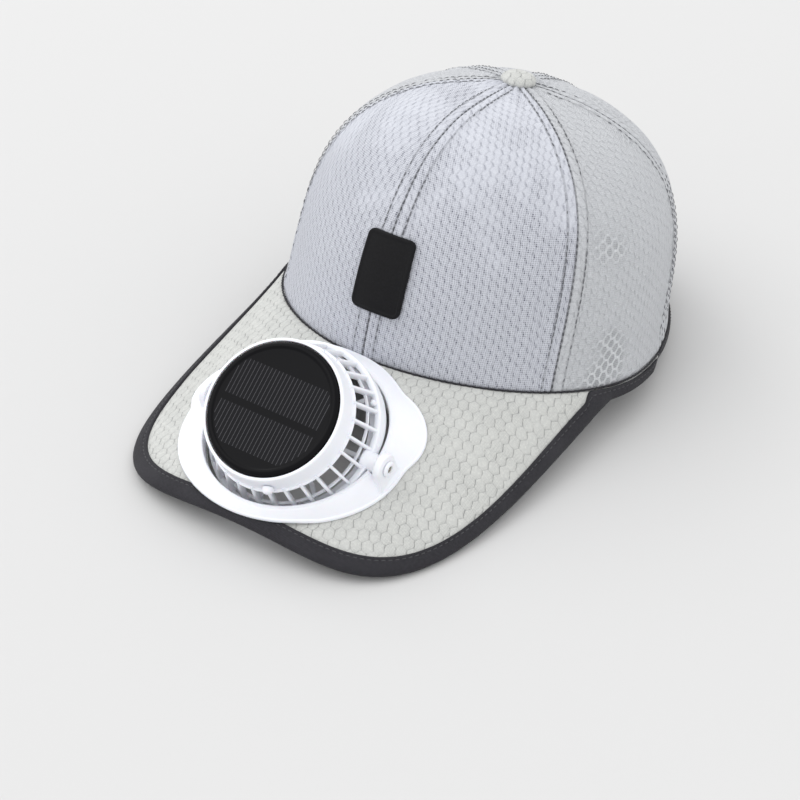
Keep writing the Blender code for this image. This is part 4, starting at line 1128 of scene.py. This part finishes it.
class CAP_OT_hem(bpy.types.Operator):
    """Bind the back's lower edge, and sew a sweatband inside the crown"""
    bl_idname = "cap.hem"
    bl_label = "Hem and Sweatband"

    def execute(self, context):
        start = BACK_SEAM.angle - math.radians(4.5)
        theta = np.linspace(start, math.tau - start, 300)
        foot = crown_at(theta, 1.0, 0.0)
        upward = unit(crown_up(theta, 2.0 * MM) - foot)
        normal = crown_normal(theta, 1.0 * MM)
        arc = arc_length(foot)
        ease = smooth(np.minimum(arc, arc[-1] - arc), 0.0, 9 * MM) * 0.75 + 0.25
        profile = (
            (2.7, 0.15), (2.75, 0.65), (2.45, 0.98), (1.9, 1.02), (1.55, 0.82), (1.2, 1.0), (0.2, 1.05),
            (-0.9, 0.85), (-1.6, 0.3), (-1.8, -0.7), (-1.6, -1.7), (-0.9, -2.25), (0.2, -2.45), (1.6, -2.4),
            (2.5, -2.35), (2.7, -1.6),
        )
        columns = []
        for rise, out in profile:
            base = crown_up(theta, rise * MM * ease) if rise > 0.0 else foot + upward * rise * MM
            columns.append(base + normal * out * MM)
        cloth = stacked(arc[:, None], np.linspace(0, 14, len(profile))[None] * MM)
        shape, row, band = Shape(), Shape(), Shape()
        shape.grid(np.stack(columns, 1) + SHIFT, closed=True, capped=True, cloth=cloth)
        path = columns[4] + SHIFT + normal * 0.1 * MM
        stitches(row, path, normal, TAPE_STITCH, TAPE_STITCH_LENGTH, 0.23 * MM)
        paint = [paint_for(tape_cloth)]
        shape.build("crown_hem_tape", "cap", "binding_cloth", paint, ("crown_hem",), angle=60.0)
        row.build("hem_stitches", "cap", "binding_cloth", [dark_thread()])
        turn = np.linspace(0.0, math.tau, 241)[None]
        height = (np.array((0.6, 0.2, 2.0, 8.0, 16.0, 24.0, 29.0, 30.6, 30.9, 30.4)) * MM)[:, None]
        inset = (np.array((1.3, 2.2, 3.0, 3.4, 3.5, 3.5, 3.4, 3.0, 2.2, 1.7)) * MM)[:, None, None]
        angle, length = np.broadcast_arrays(turn, height)
        wall = crown_up(angle, length) - crown_normal(angle, length) * inset
        band.grid(wall + SHIFT, cloth=stacked(angle * 0.09, length))
        paint = paint_for(plain_cloth, "cap_sweatband", (0.55, 0.56, 0.58))
        band.build("sweatband", "cap", "lined_mesh", [paint], outward=False)
        return {"FINISHED"}


# Pieces of the fan

def flange_radius(turn):
    """The flange's outline about its own middle: an oval with two round lobes."""
    radius = 1.0 / np.hypot(np.cos(turn) / FLANGE_HALF_WIDTH, np.sin(turn) / FLANGE_HALF_LENGTH)
    for part in LOBES:
        x, y = part.reach * math.cos(part.angle), part.reach * math.sin(part.angle)
        along = x * np.cos(turn) + y * np.sin(turn)
        room = along ** 2 - x * x - y * y + part.radius ** 2
        lobe = np.where((along > 0.0) & (room > 0.0), along + np.sqrt(np.maximum(room, 0.0)), 0.0)
        blend = 0.9 * MM
        radius = blend * np.logaddexp(radius / blend, lobe / blend)
    return radius


def seat_height(x, y):
    """The height over the ring's plane at which the flange clears the brim and its binding."""
    cos, sin = math.cos(RING_PITCH), math.sin(RING_PITCH)
    height = np.zeros(np.broadcast(x, y).shape)
    for _ in range(6):
        depth = y * cos - height * sin - AXIS_FORWARD
        level = y * sin + height * cos + AXIS_HEIGHT
        alpha = np.arctan2(x, -depth)
        outer = brim_span(alpha)[1]
        room = np.hypot(outer[..., 0], outer[..., 1]) - np.hypot(x, depth)
        tape = 1.0 - smooth(room, BINDING_WIDTH, BINDING_WIDTH + 7 * MM)
        clear = BRIM_THICKNESS / 2 + 0.45 * MM + 1.25 * MM * tape
        height = height + (brim_height(x, depth) + clear - level) * cos
    return height


class CAP_OT_fan_ring(bpy.types.Operator):
    """Mould the white ring: a rounded lip, a sloping flange with two lobes, and two pivot ears"""
    bl_idname = "cap.fan_ring"
    bl_label = "Fan Ring"

    stations = 288

    def execute(self, context):
        even = np.linspace(0.0, math.tau, self.stations, endpoint=False)
        turn = even - 0.33 * np.sin(2.0 * even)
        direction = np.stack((np.cos(turn), np.sin(turn)), -1)
        rim = direction * flange_radius(turn)[:, None] + FLANGE_SHIFT
        lip = direction * (RING_BORE + 1.8 * MM)
        bore = direction * RING_BORE
        rim_seat, bore_seat = seat_height(*rim.T), seat_height(*bore.T)
        middle = (lip + rim) / 2
        lip_top = np.maximum(0.0, np.maximum(bore_seat, seat_height(*lip.T)) + FLANGE_THICKNESS)
        rim_top = rim_seat + FLANGE_THICKNESS
        middle_top = np.maximum(0.47 * rim_top, seat_height(*middle.T) + FLANGE_THICKNESS)
        outward = unit(rim - lip)
        rows = [self.point(bore, bore_seat)]
        for inset, drop in ((0.0, 1.0), (0.12, 0.35), (0.38, 0.08), (0.75, 0.0)):
            rows.append(self.point(bore + direction * inset * MM, lip_top - drop * MM))
        edge = rim - outward * 1.0 * MM
        for share in np.linspace(0.0, 1.0, 22):
            spot = lip + (edge - lip) * share
            curve = lip_top * (1 - share) * (1 - 2 * share) + 4 * middle_top * share * (1 - share)
            curve = curve + rim_top * share * (2 * share - 1)
            inner, outer = min(2 * share, 1.0), max(2 * share - 1, 0.0)
            line = lip_top + (middle_top - lip_top) * inner + (rim_top - middle_top) * outer
            level = 0.35 * curve + 0.65 * line
            level = np.maximum(level, seat_height(*spot.T) + 0.9 * MM)
            level = level - 0.22 * MM * bell(share, 0.06, 0.05)
            rows.append(self.point(spot, self.saddle(spot, level)))
        for out, drop in ((0.35, 0.04), (0.62, 0.16), (0.84, 0.40), (0.97, 0.72), (1.0, 1.0)):
            rows.append(self.point(edge + outward * out * MM, rim_top - drop * MM))
        rows.append(self.point(rim, rim_seat + 0.1 * MM))
        for share in (0.8, 0.6, 0.4, 0.2):
            spot = bore + (rim - bore) * share
            rows.append(self.point(spot, np.minimum(seat_height(*spot.T), self.saddle(spot, 1.0))))
        rows.append(rows[0])
        shape = Shape()
        place = fan_frame(RING_PITCH)
        shape.grid(moved(np.stack(rows), place), closed=True)
        for side in (1, -1):
            self.ear(shape, side, place)
        paint = [paint_for(white_plastic)]
        shape.build("fan_ring_moulding", "cap", "white_plastic", paint, ("fan_ring",), angle=45.0)
        return {"FINISHED"}

    @staticmethod
    def point(spot, level):
        return stacked(*spot.T, level)

    @staticmethod
    def saddle(spot, level):
        """The level, lowered where a boss passes over the flange."""
        room = BOSS_RADIUS + 0.7 * MM
        dip = -np.sqrt(np.maximum(room ** 2 - spot[:, 1] ** 2, 0.0))
        under = (np.abs(spot[:, 1]) < room) & (np.abs(spot[:, 0]) < EAR_NEAR + 0.2 * MM)
        return np.where(under, np.minimum(level, dip), level)

    @staticmethod
    def ear(shape, side, place):
        """A pivot ear: round above, with a foot that widens down into the flange."""
        turn = np.linspace(0.0, math.pi, 25)
        dome = np.stack((np.cos(turn), np.sin(turn)), -1) * EAR_RADIUS
        foot = np.array(((-6.02, -2.0), (-6.15, -4.0), (-6.5, -6.0), (-7.0, -7.3), (-7.5, -8.4))) * MM
        outline = np.concatenate((dome, foot, foot[::-1] * (-1.0, 1.0)))
        steps = (
            (0.0, 0.7), (0.12, 0.3), (0.45, 0.06), (0.9, 0.0), (2.5, 0.0), (3.0, 0.08), (3.35, 0.35),
            (3.5, 0.8),
        )
        sections = []
        for x, inset in steps:
            near = outline - unit(outline) * inset * MM
            near[len(dome):, 1] = outline[len(dome):, 1]
            sections.append(stacked(side * (EAR_NEAR + x * MM), near[:, 0], near[:, 1]))
        shape.grid(moved(np.stack(sections), place), closed=True, capped=True)


class CAP_OT_fan_cage(bpy.types.Operator):
    """Mould the fan's housing with its ribs, hoop, band and bosses, and its small switch knob"""
    bl_idname = "cap.fan_cage"
    bl_label = "Fan Cage"

    def execute(self, context):
        place = fan_frame(HEAD_TILT)
        shape = Shape()
        housing = (
            (0.0, 22.0), (29.1, 22.0), (29.1, 24.95), (29.2, 25.15), (29.45, 25.22), (29.95, 25.2),
            (30.25, 25.08), (30.45, 24.8), (30.52, 24.3), (30.75, 21.8), (31.2, 17.4), (31.32, 16.5),
            (31.5, 16.15), (31.95, 16.05), (32.2, 15.85), (32.28, 15.5), (32.15, 15.15), (31.7, 15.0),
            (30.4, 15.0), (30.0, 15.2), (29.8, 16.0),
            (29.5, 19.2), (29.1, 19.85), (28.3, 20.0), (0.0, 20.0),
        )
        shape.turned(housing, 160, place)
        hoop = (
            (32.6, 5.3), (32.8, 5.5), (33.7, 5.5), (33.9, 5.3), (33.9, 4.7), (33.7, 4.5), (32.8, 4.5),
            (32.6, 4.7),
        )
        shape.turned(hoop, 144, place)
        shape.grid(moved(self.band(), place))
        ribs = context.scene.cap_fan.ribs
        for k in range(ribs):
            self.rib(shape, place @ Matrix.Rotation(math.tau * (k + 0.5) / ribs, 4, "Z"))
        boss = (
            (0.0, 34.8), (4.9, 35.0), (4.75, 35.8), (4.4, 36.5), (4.05, 37.2), (3.86, 37.9), (3.8, 38.6),
            (3.8, 41.1), (3.7, 41.45), (3.4, 41.65), (0.0, 41.7),
        )
        for side in (1, -1):
            turn = place @ Matrix.Rotation(side * math.pi / 2, 4, "Y")
            shape.turned(boss, 48, turn)
        nub = ((0.0, 1.6), (0.7, 1.5), (1.05, 1.1), (1.15, 0.5), (1.15, -0.6), (0.0, -0.6))
        spot = Matrix.Rotation(math.radians(38.0), 4, "Z") @ Matrix.Translation((35.6 * MM, 0.0, 3.0 * MM))
        shape.turned(nub, 24, place @ spot)
        paint = [paint_for(white_plastic)]
        shape.build("fan_cage_moulding", "fan_head", "white_plastic", paint, ("fan_cage",), angle=45.0)

        knob = (
            (0.0, 34.25), (0.8, 34.2), (1.5, 33.95), (2.0, 33.5), (2.25, 32.9), (2.3, 32.2), (2.3, 31.45),
            (0.0, 31.45),
        )
        push = Shape()
        turn = Matrix.Translation((0.0, 0.0, 19.5 * MM)) @ Matrix.Rotation(math.radians(22.0), 4, "Z")
        turn = place @ turn @ Matrix.Rotation(math.pi / 2, 4, "X")
        push.turned(knob, 40, turn)
        push.build("switch_knob_cap", "fan_head", "white_plastic", paint, ("switch_knob",))
        return {"FINISHED"}

    @staticmethod
    def band():
        """The outer band, part of a ball about the pivots, drawn down behind so that little gap shows."""
        turn = np.linspace(0.0, math.tau, 241)
        ball = RING_BORE - 0.75 * MM
        low = -1.5 * MM - 7.5 * MM * np.maximum(np.sin(turn), 0.0) ** 0.8
        inner, outer = [], []
        for share in np.linspace(0.0, 1.0, 9):
            height = 2.0 * MM + (low - 2.0 * MM) * share
            radius = np.sqrt(ball ** 2 - height ** 2)
            outer.append((radius, height))
            inner.append((np.minimum(radius - 1.3 * MM, 36.2 * MM), height))
        crest = []
        for share in (0.0, 0.3, 0.6, 0.85):
            swell = (2.0 + 0.28 * math.sin(math.pi * share)) * MM
            crest.append((inner[0][0] + (2.9 * share - 1.0) * MM, swell))
        foot = [((outer[-1][0] + inner[-1][0]) / 2, low - 0.25 * MM)]
        rows = crest + outer + foot + inner[::-1] + crest[:1]
        rings = [stacked(radius * np.cos(turn), radius * np.sin(turn), height) for radius, height in rows]
        return np.stack(rings)

    @staticmethod
    def rib(shape, place):
        """One rib, bowed out from the housing down to the band, with rounded edges."""
        path = np.array((
            (30.9, 16.6), (31.3, 15.4), (31.9, 13.6), (32.7, 11.4), (33.5, 9.0), (34.3, 6.6), (35.1, 4.2),
            (35.8, 2.2), (36.15, 0.9),
        )) * MM
        ahead = unit(np.gradient(path, axis=0))
        out = np.stack((-ahead[:, 1], ahead[:, 0]), -1)
        section = np.array((
            (0.65, -1.5), (0.65, 0.75), (0.5, 1.05), (0.2, 1.18), (-0.2, 1.18), (-0.5, 1.05), (-0.65, 0.75),
            (-0.65, -1.5), (-0.45, -1.75), (0.45, -1.75),
        )) * MM
        across, rise = section.T
        middle = path[:, None] + out[:, None] * rise[:, None]
        shape.grid(moved(stacked(middle[..., 0], across, middle[..., 1]), place), closed=True, capped=True)


class CAP_OT_pivots(bpy.types.Operator):
    """Make the two pivot screws: white heads with a small cross recess of steel"""
    bl_idname = "cap.pivots"
    bl_label = "Pivot Screws"

    def execute(self, context):
        head = (
            (0.0, 37.3), (1.5, 37.3), (1.7, 37.6), (1.7, 45.8), (3.1, 45.82), (3.3, 46.0), (3.28, 46.5),
            (3.05, 46.9), (2.6, 47.12), (1.95, 47.18), (1.7, 47.08), (1.6, 46.8), (1.6, 46.2), (0.0, 46.15),
        )
        radius = np.linspace(0.0, 1.6, 23)[:, None]
        turn = np.linspace(0.0, math.tau, 73)[None]
        x, y = radius * np.cos(turn), radius * np.sin(turn)
        arm = np.minimum(np.abs(x), np.abs(y))
        cross = (1.0 - smooth(arm, 0.22, 0.30)) * (1.0 - smooth(radius, 1.05, 1.15))
        face = np.stack((x, y, 46.65 - 0.45 * cross - 0.1 * radius ** 2), -1) * MM
        for side, hand in ((1, "left"), (-1, "right")):
            place = fan_frame(HEAD_TILT) @ Matrix.Rotation(side * math.pi / 2, 4, "Y")
            shape = Shape()
            shape.turned(head, 64, place)
            shape.grid(moved(face, place), slot=1)
            paints = [paint_for(white_plastic), paint_for(steel)]
            shape.build(f"pivot_head_{hand}", "fan_head", "screw_steel", paints, (f"pivot_screw_{hand}",))
        return {"FINISHED"}


class CAP_OT_solar(bpy.types.Operator):
    """Cast the black solar disc, with a rounded rim and cells under clear resin"""
    bl_idname = "cap.solar"
    bl_label = "Solar Panel"

    def execute(self, context):
        profile = (
            (0.0, 25.9), (14.0, 25.9), (25.2, 25.9), (25.7, 25.98), (26.0, 26.15), (26.3, 26.27),
            (26.9, 26.3), (27.4, 26.22), (27.9, 26.0), (28.3, 25.65), (28.6, 25.15), (28.75, 24.5),
            (28.8, 23.8), (28.8, 22.3), (0.0, 22.3),
        )
        shape = Shape()
        shape.turned(profile, 180, fan_frame(HEAD_TILT))
        shape.build("solar_disc", "fan_head", "solar_glass", [paint_for(solar_glass)], ("solar_panel",))
        return {"FINISHED"}


class CAP_OT_impeller(bpy.types.Operator):
    """Mould the impeller: a hub and pitched blades with thin rounded edges"""
    bl_idname = "cap.impeller"
    bl_label = "Impeller"

    def execute(self, context):
        place = fan_frame(HEAD_TILT)
        shape = Shape()
        hub = (
            (0.0, 5.9), (1.3, 5.9), (1.3, 12.4), (7.3, 12.4), (7.95, 12.25), (8.35, 11.9), (8.5, 11.3),
            (8.5, 4.5), (8.35, 3.9), (7.95, 3.55), (7.3, 3.4), (0.0, 3.4),
        )
        shape.turned(hub, 80, place)
        blades = context.scene.cap_fan.blades
        for k in range(blades):
            self.blade(shape, place @ Matrix.Rotation(math.tau * k / blades, 4, "Z"))
        paint = [paint_for(blade_plastic)]
        shape.build("impeller_moulding", "fan_blades", "smoke_plastic", paint, ("impeller",), angle=50.0)
        return {"FINISHED"}

    @staticmethod
    def blade(shape, place):
        start, reach = HUB_RADIUS - 1.0 * MM, BLADE_RADIUS - HUB_RADIUS + 1.0 * MM
        along = np.concatenate((np.linspace(-0.5, 0.5, 13), np.linspace(0.5, -0.5, 13)))
        thin = 1.0 - 0.75 * np.abs(np.linspace(-1.0, 1.0, 13)) ** 3
        high = np.concatenate((thin, -thin)) * 0.5
        rows = []
        for share in np.linspace(0.0, 1.0, 14):
            radius = start + reach * share
            pitch = math.radians(35.0 - 12.0 * share)
            chord = BLADE_CHORD * (0.8 + 0.5 * math.sin(math.pi * (0.15 + 0.7 * share)))
            chord *= 1.0 - 0.28 * max(share - 0.86, 0.0) / 0.14
            camber = 0.5 * MM * (1.0 - (2.0 * along) ** 2)
            flat = stacked(radius, along * chord, high * 1.15 * MM + camber)
            turn = Matrix.Rotation(0.25 * share ** 2, 4, "Z") @ Matrix.Translation((0.0, 0.0, HUB_MIDDLE))
            rows.append(moved(flat, turn @ Matrix.Rotation(pitch, 4, "X")))
        shape.grid(moved(np.stack(rows), place), closed=True, capped=True)


class CAP_OT_hidden(bpy.types.Operator):
    """Paint the model's own motor and rear guard, which sit under the fan"""
    bl_idname = "cap.hidden"
    bl_label = "Motor and Rear Guard"

    def execute(self, context):
        for name, paint in (("motor", paint_for(steel)), ("rear_guard", paint_for(white_plastic))):
            node = bpy.data.objects.get(name)
            if node is None:
                raise RuntimeError(f"{name} is missing from the model")
            node.material_slots[0].material = paint
        return {"FINISHED"}


# Stage

class CAP_OT_stage(bpy.types.Operator):
    """Set the pale floor, the soft lights and the camera at the photograph's angle"""
    bl_idname = "cap.stage"
    bl_label = "Stage"

    azimuth = math.radians(33.403471)
    elevation = math.radians(36.433758)
    roll = math.radians(1.495658)
    target = (0.029643, -0.065931, 0.040)
    distance = 1.226880
    floor_size = 12.0

    def execute(self, context):
        scene = context.scene
        stage = scene.cap_stage
        mesh = bpy.data.meshes.new("floor")
        square = ((-1, -1), (1, -1), (1, 1), (-1, 1))
        corners = [(x * self.floor_size, y * self.floor_size, 0.0) for x, y in square]
        mesh.from_pydata(corners, [], [(0, 1, 2, 3)])
        mesh.materials.append(paint_for(floor_paint))
        floor = bpy.data.objects.new("floor", mesh)
        scene.collection.objects.link(floor)

        world = bpy.data.worlds.new("studio")
        world.use_nodes = True
        back = world.node_tree.nodes["Background"]
        back.inputs["Color"].default_value = (1.0, 1.0, 1.0, 1.0)
        back.inputs["Strength"].default_value = stage.room_light
        scene.world = world

        key = bpy.data.lights.new("key", "SUN")
        key.energy = stage.key_light
        key.angle = math.radians(50.0)
        key_object = bpy.data.objects.new("key", key)
        key_object.rotation_euler = Vector((-0.62, -0.28, 0.95)).to_track_quat("Z", "Y").to_euler()
        box = bpy.data.lights.new("softbox", "AREA")
        box.shape = "DISK"
        box.size = 0.5
        box.energy = stage.box_power
        box_object = bpy.data.objects.new("softbox", box)
        box_object.location = (-0.9, 0.35, 0.9)
        aim = box_object.location - Vector(self.target)
        box_object.rotation_euler = aim.to_track_quat("Z", "Y").to_euler()

        camera = bpy.data.cameras.new("camera")
        camera.lens = stage.lens
        camera.sensor_width = 36.0
        camera.clip_start = 0.05
        camera_object = bpy.data.objects.new("camera", camera)
        camera_object.matrix_world = self.camera_place()
        for obj in (key_object, box_object, camera_object):
            scene.collection.objects.link(obj)
        scene.camera = camera_object
        scene.view_settings.view_transform = "Standard"
        return {"FINISHED"}

    def camera_place(self):
        back = Vector((
            math.sin(self.azimuth) * math.cos(self.elevation),
            -math.cos(self.azimuth) * math.cos(self.elevation),
            math.sin(self.elevation),
        ))
        level = Vector((math.cos(self.azimuth), math.sin(self.azimuth), 0.0))
        up = back.cross(level)
        right = level * math.cos(self.roll) + up * math.sin(self.roll)
        up = up * math.cos(self.roll) - level * math.sin(self.roll)
        spot = Vector(self.target) + back * self.distance
        turn = Matrix((right, up, back)).transposed().to_4x4()
        return Matrix.Translation(spot) @ turn


class CAP_PT_sidebar(bpy.types.Panel):
    """Settings and steps of the solar fan cap"""
    bl_idname = "CAP_PT_sidebar"
    bl_label = "Solar Fan Cap"
    bl_space_type = "VIEW_3D"
    bl_region_type = "UI"
    bl_category = "Solar Cap"

    def draw(self, context):
        layout = self.layout
        layout.use_property_split = True
        for name, group in GROUPS:
            column = layout.column()
            settings = getattr(context.scene, name)
            for key in group.__annotations__:
                column.prop(settings, key)
        column = layout.column(align=True)
        for operator in OPERATORS:
            column.operator(operator.bl_idname)


GROUPS = (("cap_cloth", CapCloth), ("cap_fan", CapFan), ("cap_stage", CapStage))
OPERATORS = (
    CAP_OT_crown, CAP_OT_seams, CAP_OT_button, CAP_OT_patch, CAP_OT_brim, CAP_OT_binding, CAP_OT_hem,
    CAP_OT_fan_ring, CAP_OT_fan_cage, CAP_OT_pivots, CAP_OT_solar, CAP_OT_impeller, CAP_OT_hidden,
    CAP_OT_stage,
)


def register():
    for name, group in GROUPS:
        bpy.utils.register_class(group)
        setattr(bpy.types.Scene, name, bpy.props.PointerProperty(type=group))
    for kind in (*OPERATORS, CAP_PT_sidebar):
        bpy.utils.register_class(kind)


def unregister():
    for kind in (CAP_PT_sidebar, *OPERATORS[::-1]):
        bpy.utils.unregister_class(kind)
    for name, group in GROUPS[::-1]:
        delattr(bpy.types.Scene, name)
        bpy.utils.unregister_class(group)


def main():
    register()
    for operator in OPERATORS:
        step = getattr(bpy.ops.cap, operator.bl_idname.split(".")[1])
        if step() != {"FINISHED"}:
            raise RuntimeError(f"{operator.bl_label} did not finish")


if __name__ == "__main__":
    main()
